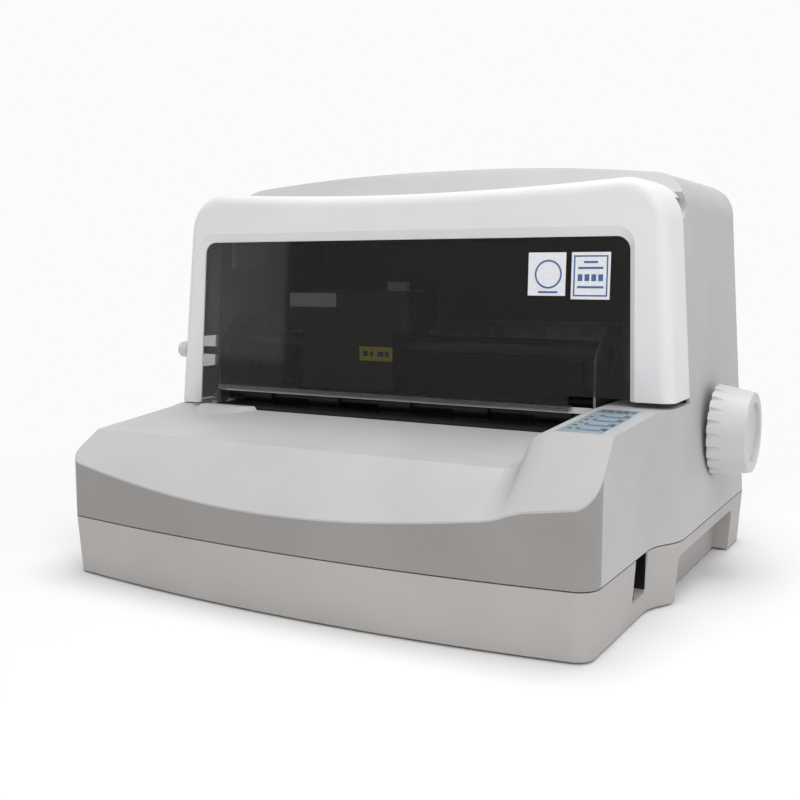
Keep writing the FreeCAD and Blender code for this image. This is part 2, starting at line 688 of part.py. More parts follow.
def hinge_ear(side):
    """One ear that carries the cover's hinge pin, with the arm that joins it to the case side."""
    x = (side * EAR_X, side * (EAR_X + EAR_THICKNESS))
    wall_x = side * (case_half(REAR_HALF, EAR_ARM_Z) - CASE_WALL / 2)
    ear = fuse([rod_x((min(x), max(x)), HINGE_Y, HINGE_Z, EAR_R),
                block(x, (EAR_NECK_FRONT_Y, EAR_NECK_REAR_Y), (EAR_ARM_Z, HINGE_Z)),
                block(x, (EAR_NECK_FRONT_Y, EAR_ARM_REAR_Y), (EAR_ARM_Z, EAR_NECK_Z)),
                block((x[0], wall_x), (EAR_ARM_REAR_Y - EAR_THICKNESS, EAR_ARM_REAR_Y), (EAR_ARM_Z, EAR_NECK_Z))])
    return ear.cut(rod_x((min(x) - OVERRUN, max(x) + OVERRUN), HINGE_Y, HINGE_Z, PIN_R))


def screw_places():
    return [(x, y) for x in (-POST_X, POST_X) for y in (POST_FRONT_Y, POST_REAR_Y)]


def screw_boss(x, y):
    """Boss of the upper case over one post of the lower case, with a web to the wall."""
    side = math.copysign(1, x)
    top = SHELL_LOW_Z + SCREW_ENGAGEMENT + SCREW_HEAD
    half = FRONT_HALF if y < 0 else REAR_HALF
    web = CASE_WALL / 2
    boss = rod_z(x, y, (SHELL_LOW_Z, top), POST_R)
    boss = boss.fuse(block((x, side * (half - web)), (y - web, y + web), (SHELL_LOW_Z + LIP_HEIGHT + web, top)))
    return boss.cut(rod_z(x, y, (SHELL_LOW_Z - OVERRUN, SHELL_LOW_Z + SCREW_ENGAGEMENT), SCREW_R))


def on_panel(shape):
    """Tilt a shape drawn flat over the pod's front edge onto the pod's sloping top."""
    shape.rotate(vec(0, DECK_EDGE_Y, POD_FRONT_Z), vec(1, 0, 0), math.degrees(math.atan(POD_SLOPE)))
    return shape


def panel_span():
    left = POD_EDGE_X + PANEL_MARGIN
    front = DECK_EDGE_Y + PANEL_FRONT
    return (left, left + PANEL_WIDTH), (front, front + PANEL_LENGTH)


def button_places():
    (left, right), (front, back) = panel_span()
    x = right - BUTTON_WIDTH / 2 - LENS_INSET
    return [(x, front + BUTTON_FIRST + i * BUTTON_PITCH) for i in range(BUTTONS)]


def lens_places():
    (left, right), (front, back) = panel_span()
    return [(left + LENS_INSET, front + BUTTON_FIRST + i * LENS_PITCH) for i in range(LENSES)]


def panel_holes(low, high):
    """Cutters for the buttons and lenses through the film and the pod's top."""
    tools = []
    for x, y in button_places():
        half_x, half_y = BUTTON_WIDTH / 2 + BUTTON_GAP, BUTTON_LENGTH / 2 + BUTTON_GAP
        tools.append(block((x - half_x, x + half_x), (y - half_y, y + half_y), (low, high)))
    for x, y in lens_places():
        tools.append(rod_z(x, y, (low, high), LENS_R))
    return [on_panel(tool) for tool in tools]


def upper_case():
    low = SHELL_LOW_Z - SLIGHT
    inner = below_deck(CASE_WALL, CASE_WALL, low, BODY_FRONT_Y + OVERRUN)
    bay = block((BAY_LEFT_X, BAY_RIGHT_X), (TABLE_REAR_Y, BODY_FRONT_Y + OVERRUN),
                (FEED_AXIS_Z, POD_REAR_Z + OVERRUN))
    body = case_form().fuse(table_ramp())
    for tool in (inner, housing(CASE_WALL, low), bay):
        body = body.cut(tool)
    bosses = [screw_boss(x, y) for x, y in screw_places()]
    ears = [hinge_ear(side) for side in (-1, 1)]
    body = fuse([body] + bosses + ears)
    tools = [front_band()]
    (left, right), (front, back) = panel_span()
    tools.append(on_panel(block((left, right), (front, back), (POD_FRONT_Z - PANEL_FILM, POD_FRONT_Z + OVERRUN))))
    tools += panel_holes(POD_FRONT_Z - OVERRUN / 2, POD_FRONT_Z + OVERRUN)
    tools.append(rod_x((POD_EDGE_X, REAR_HALF + OVERRUN), REAR_AXIS_Y, FEED_AXIS_Z, SHAFT_R + KNOB_HOLE_CLEARANCE))
    wall = (REAR_Y - CASE_WALL - SLIGHT - REAR_CORNER_R / 4, REAR_Y + OVERRUN)
    tools.append(block((REAR_SLOT_LEFT_X, REAR_SLOT_RIGHT_X), wall,
                       (PAPER_Z - REAR_SLOT_DROP, PAPER_Z - REAR_SLOT_DROP + REAR_SLOT_HEIGHT)))
    tools += [block(x, wall, z) for x, z in (inlet_hole(), port_hole(), usb_hole())]
    for tool in tools:
        body = body.cut(tool)
    return body


def inlet_hole():
    return ((INLET_X - INLET_WIDTH / 2, INLET_X + INLET_WIDTH / 2),
            (INLET_Z - INLET_HEIGHT / 2, INLET_Z + INLET_HEIGHT / 2))


def port_hole():
    return ((PORT_X - PORT_WIDTH / 2, PORT_X + PORT_WIDTH / 2),
            (PORT_Z - PORT_HEIGHT / 2, PORT_Z + PORT_HEIGHT / 2))


def usb_hole():
    return ((USB_X - USB_SIZE / 2, USB_X + USB_SIZE / 2), (PORT_Z - USB_SIZE / 2, PORT_Z + USB_SIZE / 2))


def front_band():
    """Grey band round the lower front, let into the case by its own thickness."""
    outer = below_deck(0, BAND_RIM, SHELL_LOW_Z, BAND_END_Y)
    return outer.cut(upper_plan(BAND_THICKNESS, SHELL_LOW_Z - OVERRUN, ROOF_MID_Z))


def lower_case():
    levels = [(STAND, TRAY_TAPER, FRONT_HALF, REAR_HALF), (TRAY_TOP_Z, 0, FRONT_HALF, REAR_HALF)]
    outer = plan_solid(levels)
    floor_z = STAND + TRAY_FLOOR
    rise = TRAY_TAPER * (TRAY_TOP_Z - floor_z) / (TRAY_TOP_Z - STAND)
    inner = plan_solid([(floor_z, TRAY_WALL + rise, FRONT_HALF, REAR_HALF),
                        (TRAY_TOP_Z, TRAY_WALL, FRONT_HALF, REAR_HALF)])
    tray = outer.cut(inner)
    lip = upper_plan(CASE_WALL + LIP_CLEARANCE, TRAY_TOP_Z, TRAY_TOP_Z + LIP_HEIGHT)
    lip = lip.cut(upper_plan(TRAY_WALL - LIP_LEDGE, TRAY_TOP_Z - SLIGHT, TRAY_TOP_Z + LIP_HEIGHT + SLIGHT))
    recesses = [grip_recess(side, 0) for side in (-1, 1)] + [switch_recess(0)]
    liners = [grip_recess(side, TRAY_WALL) for side in (-1, 1)] + [switch_recess(TRAY_WALL)]
    parts = [tray, lip] + [liner.common(outer) for liner in liners]
    parts += [rod_z(x, y, (STAND, TRAY_TOP_Z), POST_R) for x, y in screw_places()]
    parts += [rod_z(x, y, (STAND, BASE_Z - BASE_THICKNESS), CHASSIS_POST_R) for x, y in chassis_posts()]
    tray = fuse(parts)
    for tool in recesses:
        tray = tray.cut(tool)
    tray = tray.cut(switch_body_block(BUTTON_GAP))
    for x, y in screw_places():
        tray = tray.cut(rod_z(x, y, (0, TRAY_TOP_Z + OVERRUN), SCREW_R + SCREW_CLEARANCE))
        tray = tray.cut(rod_z(x, y, (0, STAND + SCREW_RECESS), SCREW_HEAD_R + SCREW_CLEARANCE))
    for x, y in foot_places():
        tray = tray.cut(rod_z(x, y, (0, STAND + FOOT_POCKET), FOOT_R))
    return tray


def chassis_posts():
    inset = CHASSIS_POST_R * 2
    return [(x, y) for x in (MECH_LEFT_X + inset, MECH_RIGHT_X - inset)
            for y in (BASE_FRONT_Y + inset, BASE_REAR_Y - inset)]


def foot_places():
    x = FRONT_HALF - FOOT_INSET_X
    return [(sx * x, y) for sx in (-1, 1) for y in (FRONT_Y + FOOT_INSET_Y, REAR_Y - FOOT_INSET_Y)]


def grip_recess(side, grow):
    """Hand grip under each side, open outwards and downwards; grown, its liner."""
    inner_x = side * (REAR_HALF - GRIP_DEPTH - grow)
    shape = block((inner_x, side * (REAR_HALF + OVERRUN)), (GRIP_FRONT_Y - grow, GRIP_REAR_Y + grow),
                  (STAND - (0 if grow else OVERRUN), GRIP_TOP_Z + grow))
    top = GRIP_TOP_Z + grow
    return round_edges(shape, GRIP_R, lambda e: runs_along(e, "x") and abs(e.CenterOfMass.z - top) < SLIGHT)


def switch_recess(grow):
    inner = FRONT_HALF - SWITCH_DEPTH - grow
    outer = FRONT_HALF + OVERRUN
    slope = SWITCH_LEDGE_SHARE * (SWITCH_DEPTH + OVERRUN)
    y = (SWITCH_Y - SWITCH_WIDTH / 2 - grow, SWITCH_Y + SWITCH_WIDTH / 2 + grow)
    top = TRAY_TOP_Z + (0 if grow else OVERRUN)
    steps = [(inner, SWITCH_LOW_Z - grow), (outer, SWITCH_LOW_Z - grow - slope), (outer, top), (inner, top)]
    return prism_y(steps, y[0], y[1])


def switch_z():
    return (SWITCH_LOW_Z + TRAY_TOP_Z) / 2


def switch_body_block(grow):
    face = FRONT_HALF - SWITCH_DEPTH
    half_y, half_z = SWITCH_BODY_WIDTH / 2 + grow, SWITCH_BODY_HEIGHT / 2 + grow
    return block((face - SWITCH_BODY_DEPTH, face + grow), (SWITCH_Y - half_y, SWITCH_Y + half_y),
                 (switch_z() - half_z, switch_z() + half_z))


def cover_solid(inset):
    """The cover's outer form, or with an inset the hollow inside it."""
    z0 = LEFT_LEG_Z if inset == 0 else LEFT_LEG_Z - OVERRUN
    low_half = case_half(REAR_HALF, z0) - inset
    top_half = case_half(REAR_HALF, COVER_TOP_Z) - inset
    top = COVER_TOP_Z - inset
    front_y = COVER_FACE_Y - OVERRUN
    shape = prism_y([(-low_half, z0), (-top_half, top), ((0, top - COVER_DIP), (top_half, top)), (low_half, z0)],
                    front_y, HINGE_Y + SWEEP_R + OVERRUN)
    shape = round_edges(shape, COVER_CORNER_R - inset,
                        lambda e: runs_along(e, "y") and abs(e.CenterOfMass.z - top) < SLIGHT)
    low_y, top_y = cover_face_y(z0 - OVERRUN) + inset, cover_face_y(top + OVERRUN) + inset
    wide = REAR_HALF + OVERRUN
    shape = shape.cut(prism_x([(front_y - OVERRUN, z0 - OVERRUN), (low_y, z0 - OVERRUN), (top_y, top + OVERRUN),
                               (front_y - OVERRUN, top + OVERRUN)], -wide, wide))

    def on_face(edge):
        middle = edge.CenterOfMass
        return abs(middle.y - cover_face_y(middle.z) - inset) < NEAR and middle.z > z0 + NEAR

    shape = round_edges(shape, COVER_EDGE_R - inset, on_face)
    back = COVER_REAR_Y if inset == 0 else HINGE_Y + HINGE_SWEEP_R - inset
    keep = block((-wide, wide), (front_y, back), (z0, HINGE_Z))
    keep = keep.fuse(block((-wide, wide), (front_y, HINGE_Y), (z0, top + OVERRUN)))
    knuckle = rod_x((-wide, wide), HINGE_Y, HINGE_Z, HINGE_SWEEP_R - inset)
    knuckle = knuckle.common(block((-wide, wide), (HINGE_Y, HINGE_Y + SWEEP_R), (HINGE_Z, top + OVERRUN)))
    return shape.common(keep.fuse(knuckle))


def aperture_wire(y, side, top):
    """Opening in the cover's face, grown at its sides and top, in one plane."""
    lean = LEG_SPREAD / (APERTURE_TOP_Z - APERTURE_FOOT_Z)
    foot_z = LEFT_LEG_Z - OVERRUN
    z1 = APERTURE_TOP_Z + top
    left, right = APERTURE_LEFT_TOP + side, APERTURE_RIGHT_TOP + side
    spread = lean * (z1 - foot_z)
    radius = APERTURE_R + side
    arc = radius * math.sqrt(0.5)
    left_x, right_x = left + lean * radius, right + lean * radius
    steps = [(-left - spread, foot_z), (-left_x, z1 - radius),
             ((-left_x + radius - arc, z1 - radius + arc), (-left_x + radius, z1)), (right_x - radius, z1),
             ((right_x - radius + arc, z1 - radius + arc), (right_x, z1 - radius)), (right + spread, foot_z)]
    return closed_wire(steps, lambda x, z: vec(x, y, z))


def cover_ear(side):
    """Ear inside the cover that turns on the hinge pin."""
    outer = side * (EAR_X - EAR_GAP)
    inner = side * (EAR_X - EAR_GAP - EAR_THICKNESS)
    x = (outer, inner)
    ear = fuse([rod_x((min(x), max(x)), HINGE_Y, HINGE_Z, EAR_R),
                block(x, (HINGE_Y - EAR_R, HINGE_Y + EAR_R), (HINGE_Z, COVER_TOP_Z - COVER_WALL / 2 - COVER_DIP / 4))])
    return ear


def leaned(shape):
    """Tilt a shape drawn upright at the cover's face back onto the leaning face."""
    shape.rotate(vec(0, COVER_FACE_Y, LEFT_LEG_Z), vec(1, 0, 0), -math.degrees(math.atan(COVER_LEAN_SHARE)))
    return shape


def front_cover():
    outer = cover_solid(0)
    front, pane_y = COVER_FACE_Y - OVERRUN, COVER_FACE_Y + BEVEL_DEPTH + COVER_WALL / 2
    through = Part.Face(aperture_wire(front, 0, 0)).extrude(vec(0, OVERRUN * 2, 0))
    spread = (OVERRUN + BEVEL_DEPTH) / BEVEL_DEPTH
    bevel = Part.makeLoft([aperture_wire(front, BEVEL_SIDE * spread, BEVEL_TOP * spread),
                           aperture_wire(COVER_FACE_Y + BEVEL_DEPTH, 0, 0)], True, True)
    rim = Part.Face(aperture_wire(front, WINDOW_OVERLAP + BEVEL_SIDE, WINDOW_OVERLAP + BEVEL_TOP))
    rim = leaned(rim.extrude(vec(0, pane_y - front, 0)))
    shell = outer.cut(cover_solid(COVER_WALL)).fuse(rim.common(outer))
    right_foot = block((0, REAR_HALF + OVERRUN), (front, SWEEP_R + OVERRUN),
                       (LEFT_LEG_Z - OVERRUN, RIGHT_LEG_Z))
    bore = rod_x((-EAR_X, EAR_X), HINGE_Y, HINGE_Z, PIN_R + PIN_CLEARANCE)
    for tool in (leaned(through), leaned(bevel), right_foot):
        shell = shell.cut(tool)
    shell = fuse([shell] + [cover_ear(side).common(outer) for side in (-1, 1)])
    return shell.cut(bore).cut(lever_slot())


def lever_slot():
    """Slot in the cover's left side for the gap lever, open to the rear."""
    z = LEVER_TIP_Z - LEVER_SLOT_DROP
    return block((-REAR_HALF - OVERRUN, -EAR_X), (LEVER_TIP_Y - LEVER_SLOT_MARGIN, COVER_REAR_Y + OVERRUN / 2),
                 (z - LEVER_SLOT_HALF, z + LEVER_SLOT_HALF))


def cover_window():
    """Smoked pane behind the cover's frame, with a short leg at each end."""
    y = COVER_FACE_Y + BEVEL_DEPTH + COVER_WALL / 2
    pane = Part.Face(aperture_wire(y, WINDOW_OVERLAP, WINDOW_OVERLAP)).extrude(vec(0, WINDOW_THICKNESS, 0))
    wide = REAR_HALF
    leg = WINDOW_LEG_WIDTH - APERTURE_LEFT_FOOT
    far = (y - OVERRUN, y + OVERRUN)
    low = LEFT_LEG_Z - OVERRUN * 2
    pane = pane.cut(block((leg, wide), far, (low, WINDOW_FOOT_Z)))
    pane = pane.cut(block((-wide, leg), far, (low, WINDOW_LEFT_LEG_Z)))
    return leaned(pane.cut(block((POD_START_X, wide), far, (low, WINDOW_RIGHT_LEG_Z))))


def window_stickers():
    """Two stickers on the front of the pane, at its upper right."""
    y = COVER_FACE_Y + BEVEL_DEPTH + COVER_WALL / 2
    sizes = ((STICKER_LEFT_X, STICKER_LEFT_WIDTH, STICKER_LEFT_HEIGHT),
             (STICKER_RIGHT_X, STICKER_RIGHT_WIDTH, STICKER_RIGHT_HEIGHT))
    return Part.makeCompound([leaned(block((x, x + width), (y - STICKER_THICKNESS, y),
                                           (STICKER_TOP_Z - height, STICKER_TOP_Z)))
                              for x, width, height in sizes])


def hinge_pins():
    pins = []
    for side in (-1, 1):
        inner = side * (EAR_X - EAR_GAP - EAR_THICKNESS - EAR_GAP)
        outer = side * (EAR_X + EAR_THICKNESS)
        head = outer + side * PIN_HEAD
        pins.append(rod_x((min(inner, outer), max(inner, outer)), HINGE_Y, HINGE_Z, PIN_R)
                    .fuse(rod_x((min(head, outer), max(head, outer)), HINGE_Y, HINGE_Z, PIN_R + PIN_HEAD)))
    return Part.makeCompound(pins)


def gear(x, y, z, teeth, tooth_at, bore):
    """Spur gear on an axis along X; one tooth points at the given angle in the YZ plane."""
    pitch_r = MODULE * teeth / 2
    root_r = pitch_r - DEDENDUM_SHARE * MODULE
    tip_r = pitch_r + ADDENDUM_SHARE * MODULE
    step = 2 * math.pi / teeth
    steps = []
    for i in range(teeth):
        middle = math.radians(tooth_at) + i * step
        for radius, share in ((root_r, -TOOTH_ROOT_SHARE), (tip_r, -TOOTH_TIP_SHARE),
                              (tip_r, TOOTH_TIP_SHARE), (root_r, TOOTH_ROOT_SHARE)):
            turn = middle + share * step
            steps.append((y + radius * math.cos(turn), z + radius * math.sin(turn)))
    body = prism_x(steps, x, x + GEAR_WIDTH)
    return body.cut(rod_x((x - OVERRUN, x + GEAR_WIDTH + OVERRUN), y, z, bore))


def side_frame(x):
    """Steel side plate: low in front, with the shaft holes cut through it."""
    z0, z1 = BASE_Z, FRAME_TOP_Z
    steps = [(FRAME_FRONT_Y, z0), (FRAME_REAR_Y, z0), (FRAME_REAR_Y, TIE_BAR_Z + TIE_BAR_HEIGHT),
             (FRAME_SHOULDER_Y, z1), (FRAME_FRONT_Y + OVERRUN, z1), (FRAME_FRONT_Y, z1 - OVERRUN)]
    plate = prism_x(steps, x, x + FRAME_THICKNESS)
    span = (x - OVERRUN, x + FRAME_THICKNESS + OVERRUN)
    for y in (REAR_AXIS_Y, FRONT_AXIS_Y):
        plate = plate.cut(rod_x(span, y, FEED_AXIS_Z, BUSH_R))
        plate = plate.cut(rod_x(span, y, PINCH_AXIS_Z, PINCH_SHAFT_R + BUSH_CLEARANCE))
    return plate.cut(rod_x(span, RAIL_Y, RAIL_Z, RAIL_R))


def left_side_frame():
    plate = side_frame(MECH_LEFT_X)
    span = (MECH_LEFT_X - OVERRUN, MECH_LEFT_X + OVERRUN)
    plate = plate.cut(rod_x(span, IDLER_AXIS_Y, FEED_AXIS_Z, IDLER_STUD_R))
    plate = plate.cut(rod_x(span, LEVER_PIVOT_Y, LEVER_PIVOT_Z, LEVER_PIN_R))
    return plate.cut(rod_x(span, IDLER_AXIS_Y, PINION_AXIS_Z, FEED_MOTOR_SHAFT_R * 2))


def base_plate():
    plate = block((MECH_LEFT_X, MECH_RIGHT_X), (BASE_FRONT_Y, BASE_REAR_Y), (BASE_Z - BASE_THICKNESS, BASE_Z))
    for x, y in chassis_posts():
        plate = plate.cut(rod_z(x, y, (0, BASE_Z + OVERRUN), SCREW_R))
    return plate


def feed_bushes():
    """Flanged bushes of the two feed shafts, one in each side frame."""
    bushes = []
    for y in (REAR_AXIS_Y, FRONT_AXIS_Y):
        for inner, outer in ((FRAME_LEFT_X, MECH_LEFT_X), (FRAME_RIGHT_X, MECH_RIGHT_X)):
            away = math.copysign(BUSH_FLANGE, inner - outer)
            barrel = rod_x((min(inner, outer), max(inner, outer)), y, FEED_AXIS_Z, BUSH_R)
            flange = rod_x((min(inner, inner + away), max(inner, inner + away)), y, FEED_AXIS_Z,
                           BUSH_R + BUSH_FLANGE)
            bore = rod_x((MECH_LEFT_X - OVERRUN, MECH_RIGHT_X + OVERRUN), y, FEED_AXIS_Z,
                         SHAFT_R + BUSH_CLEARANCE)
            bushes.append(barrel.fuse(flange).cut(bore))
    return Part.makeCompound(bushes)


def tie_bar():
    """Rear cross member, a folded channel between the side frames."""
    y, z = (TIE_BAR_Y, TIE_BAR_Y + TIE_BAR_DEPTH), (TIE_BAR_Z, TIE_BAR_Z + TIE_BAR_HEIGHT)
    bar = block((FRAME_LEFT_X, FRAME_RIGHT_X), y, z)
    hollow = block((FRAME_LEFT_X, FRAME_RIGHT_X), (y[0] - OVERRUN, y[1] - TIE_BAR_SHEET),
                   (z[0] + TIE_BAR_SHEET, z[1] - TIE_BAR_SHEET))
    return bar.cut(hollow)


def guide_strip():
    """Bright steel strip across the front of the paper path."""
    y, z = (STRIP_Y, STRIP_Y + STRIP_DEPTH), (STRIP_Z, STRIP_Z + STRIP_HEIGHT)
    bar = block((FRAME_LEFT_X, FRAME_RIGHT_X), y, z)
    return bar.cut(block((FRAME_LEFT_X, FRAME_RIGHT_X), (y[0] + STRIP_SHEET, y[1] + OVERRUN),
                         (z[0] + STRIP_SHEET, z[1] + OVERRUN)))


def roller_spans(margin):
    """Lengths of the rubber rollers, spread evenly between the side frames."""
    pitch = (FRAME_RIGHT_X - FRAME_LEFT_X) / ROLLER_COUNT
    half = ROLLER_LENGTH / 2 + margin
    middles = [FRAME_LEFT_X + pitch * (i + 0.5) for i in range(ROLLER_COUNT)]
    return [(x - half, x + half) for x in middles]


def guide_plate():
    """Black lower guide under the paper, with windows for the rollers and the print bed."""
    top = PAPER_Z - GUIDE_DROP
    front, back = TABLE_REAR_Y + CASE_WALL + RUN_GAP, REAR_Y - CASE_WALL - REAR_CORNER_R / 4 - RUN_GAP
    plate = block((FRAME_LEFT_X, FRAME_RIGHT_X), (front, back), (top - GUIDE_THICKNESS, top))
    reach = ROLLER_R + GUIDE_MARGIN
    ends = [(FRAME_LEFT_X, FRAME_LEFT_X + BUSH_FLANGE + RUN_GAP),
            (FRAME_RIGHT_X - BUSH_FLANGE - RUN_GAP, FRAME_RIGHT_X)]
    for y in (REAR_AXIS_Y, FRONT_AXIS_Y):
        for span in roller_spans(GUIDE_MARGIN) + ends:
            plate = plate.cut(block(span, (y - reach, y + reach), (FEED_AXIS_Z, PAPER_Z + OVERRUN)))
    return plate.cut(block((FRAME_LEFT_X + GUIDE_THICKNESS, FRAME_RIGHT_X - GUIDE_THICKNESS),
                           (BED_FRONT_Y, BED_REAR_Y), (FEED_AXIS_Z, PAPER_Z + OVERRUN)))


def print_bed():
    """Steel channel under the print line."""
    x = (FRAME_LEFT_X + GUIDE_THICKNESS, FRAME_RIGHT_X - GUIDE_THICKNESS)
    top = PAPER_Z - GUIDE_DROP - STRIP_RUBBER / 2
    bed = block((FRAME_LEFT_X, FRAME_RIGHT_X), (BED_FRONT_Y, BED_REAR_Y),
                (top - BED_HEIGHT, PAPER_Z - GUIDE_DROP - GUIDE_THICKNESS))
    bed = bed.fuse(block(x, (BED_FRONT_Y, BED_REAR_Y), (top - BED_HEIGHT, top)))
    bed = bed.cut(block((FRAME_LEFT_X, FRAME_RIGHT_X), (BED_FRONT_Y + BED_SHEET, BED_REAR_Y - BED_SHEET),
                        (top - BED_HEIGHT - OVERRUN, top - GUIDE_THICKNESS - BED_SHEET)))
    return bed.removeSplitter()


def bed_rubber():
    top = PAPER_Z - GUIDE_DROP + STRIP_RUBBER / 2
    half = STRIP_RUBBER_WIDTH / 2
    return block((FRAME_LEFT_X + GUIDE_THICKNESS, FRAME_RIGHT_X - GUIDE_THICKNESS), (HEAD_Y - half, HEAD_Y + half),
                 (top - STRIP_RUBBER, top))


def rear_feed_shaft():
    return rod_x((GEAR_X, KNOB_X + KNOB_LENGTH - KNOB_DISH_DEPTH - KNOB_WALL), REAR_AXIS_Y, FEED_AXIS_Z, SHAFT_R)


def front_feed_shaft():
    return rod_x((GEAR_X, MECH_RIGHT_X + BUSH_FLANGE), FRONT_AXIS_Y, FEED_AXIS_Z, SHAFT_R)


def rollers(y, z, radius, bore):
    tyres = []
    for span in roller_spans(0):
        tyre = rod_x(span, y, z, radius)
        tyres.append(tyre.cut(rod_x((span[0] - OVERRUN, span[1] + OVERRUN), y, z, bore)))
    return Part.makeCompound(tyres)


def pinch_set(y):
    """Upper shaft with its pressing rollers."""
    shaft = rod_x((MECH_LEFT_X, MECH_RIGHT_X), y, PINCH_AXIS_Z, PINCH_SHAFT_R)
    return Part.makeCompound([shaft, rollers(y, PINCH_AXIS_Z, PINCH_R, PINCH_SHAFT_R)])


def feed_gear(y, tooth_at):
    return gear(GEAR_X, y, FEED_AXIS_Z, FEED_TEETH, tooth_at, SHAFT_R)


def idler_gear():
    gap_at = 180 / IDLER_TEETH
    return gear(GEAR_X, IDLER_AXIS_Y, FEED_AXIS_Z, IDLER_TEETH, gap_at, IDLER_STUD_R + BUSH_CLEARANCE)


def frame_studs():
    """Studs riveted into the left frame: the idler gear's, with its spacer, and the gap lever's."""
    stud = rod_x((GEAR_X - RUN_GAP, FRAME_LEFT_X), IDLER_AXIS_Y, FEED_AXIS_Z, IDLER_STUD_R)
    spacer = rod_x((GEAR_X + GEAR_WIDTH + RUN_GAP, MECH_LEFT_X), IDLER_AXIS_Y, FEED_AXIS_Z,
                   IDLER_STUD_R + BUSH_FLANGE)
    cap = rod_x((GEAR_X - RUN_GAP - BUSH_FLANGE, GEAR_X - RUN_GAP), IDLER_AXIS_Y, FEED_AXIS_Z,
                IDLER_STUD_R + BUSH_FLANGE)
    pin = rod_x((LEVER_X - RUN_GAP, FRAME_LEFT_X), LEVER_PIVOT_Y, LEVER_PIVOT_Z, LEVER_PIN_R)
    head = rod_x((LEVER_X - RUN_GAP - BUSH_FLANGE, LEVER_X - RUN_GAP), LEVER_PIVOT_Y, LEVER_PIVOT_Z,
                 LEVER_PIN_R + BUSH_FLANGE)
    return Part.makeCompound([fuse([stud, spacer, cap]), pin.fuse(head)])


def motor_pinion():
    """Pinion and shaft of the feed motor, under the idler."""
    gap_at = 90 + 180 / PINION_TEETH
    wheel = gear(GEAR_X, IDLER_AXIS_Y, PINION_AXIS_Z, PINION_TEETH, gap_at, FEED_MOTOR_SHAFT_R)
    shaft = rod_x((GEAR_X, FRAME_LEFT_X + FEED_MOTOR_LENGTH / 2), IDLER_AXIS_Y, PINION_AXIS_Z, FEED_MOTOR_SHAFT_R)
    return fuse([wheel, shaft])


def feed_motor():
    """Motor can on the inner side of the left frame, bored for its shaft."""
    x = FRAME_LEFT_X
    can = rod_x((x, x + FEED_MOTOR_LENGTH), IDLER_AXIS_Y, PINION_AXIS_Z, FEED_MOTOR_R)
    bore = rod_x((x, x + FEED_MOTOR_LENGTH / 2 + RUN_GAP), IDLER_AXIS_Y, PINION_AXIS_Z,
                 FEED_MOTOR_SHAFT_R + BUSH_CLEARANCE)
    return can.cut(bore)


def feed_knob():
    """Hand knob on the right: a tapered cup with grip grooves and a dished face."""
    y, z, x0, x1 = REAR_AXIS_Y, FEED_AXIS_Z, KNOB_X, KNOB_X + KNOB_LENGTH
    cup = Part.makeCone(KNOB_BASE_R, KNOB_FACE_R, KNOB_LENGTH, vec(x0, y, z), vec(1, 0, 0))
    cup = round_edges(cup, KNOB_WALL / 2, lambda e: e.CenterOfMass.x > x1 - SLIGHT and len(e.Vertexes) == 1)
    taper = (KNOB_BASE_R - KNOB_FACE_R) / KNOB_LENGTH
    hollow_end = KNOB_LENGTH - KNOB_DISH_DEPTH - KNOB_WALL
    hollow = Part.makeCone(KNOB_BASE_R - KNOB_WALL * 2, KNOB_BASE_R - KNOB_WALL * 2 - taper * hollow_end,
                           hollow_end, vec(x0, y, z), vec(1, 0, 0))
    cup = cup.cut(hollow.cut(rod_x((x0, x1), y, z, KNOB_HUB_R)))
    cup = cup.cut(rod_x((x1 - KNOB_DISH_DEPTH, x1 + OVERRUN), y, z, KNOB_DISH_R))
    for i in range(KNOB_GROOVES):
        turn = 2 * math.pi * i / KNOB_GROOVES
        ring = KNOB_BASE_R + KNOB_GROOVE_R / 4
        groove = rod_x((x0 - OVERRUN, x1 - KNOB_COLLAR), y + ring * math.cos(turn), z + ring * math.sin(turn),
                       KNOB_GROOVE_R)
        cup = cup.cut(groove)
    return cup.cut(rod_x((x0 - OVERRUN, x0 + hollow_end), y, z, SHAFT_R))


def carriage_shaft():
    return rod_x((MECH_LEFT_X, MECH_RIGHT_X), RAIL_Y, RAIL_Z, RAIL_R)


def carriage():
    """Moulded carriage: bushing block, front apron, belt clamp arm and a seat for the head."""
    x = (CARRIAGE_X - CARRIAGE_HALF, CARRIAGE_X + CARRIAGE_HALF)
    body = block(x, (CARRIAGE_FRONT_Y, CARRIAGE_REAR_Y), (CARRIAGE_LOW_Z, CARRIAGE_TOP_Z))
    apron = block(x, (CARRIAGE_FRONT_Y, CARRIAGE_FRONT_Y + CARRIAGE_SHEET), (CARRIAGE_APRON_Z, CARRIAGE_TOP_Z))
    arm_x = (CARRIAGE_X - CLAMP_HALF, CARRIAGE_X + CLAMP_HALF)
    belt_y = BELT_Y - PULLEY_R - BELT_THICKNESS
    arm = block(arm_x, (CARRIAGE_REAR_Y, belt_y + BELT_THICKNESS + RUN_GAP + CLAMP_WALL),
                (BELT_Z - BELT_WIDTH / 2 - RUN_GAP - CLAMP_WALL, BELT_Z + BELT_WIDTH / 2))
    slot = block(arm_x, (belt_y - RUN_GAP, belt_y + BELT_THICKNESS + RUN_GAP),
                 (BELT_Z - BELT_WIDTH / 2 - RUN_GAP, BELT_Z + BELT_WIDTH / 2 + OVERRUN))
    body = fuse([body, apron, arm.cut(slot)])
    return body.cut(rod_x((x[0] - OVERRUN, x[1] + OVERRUN), RAIL_Y, RAIL_Z, RAIL_R + BUSH_CLEARANCE))


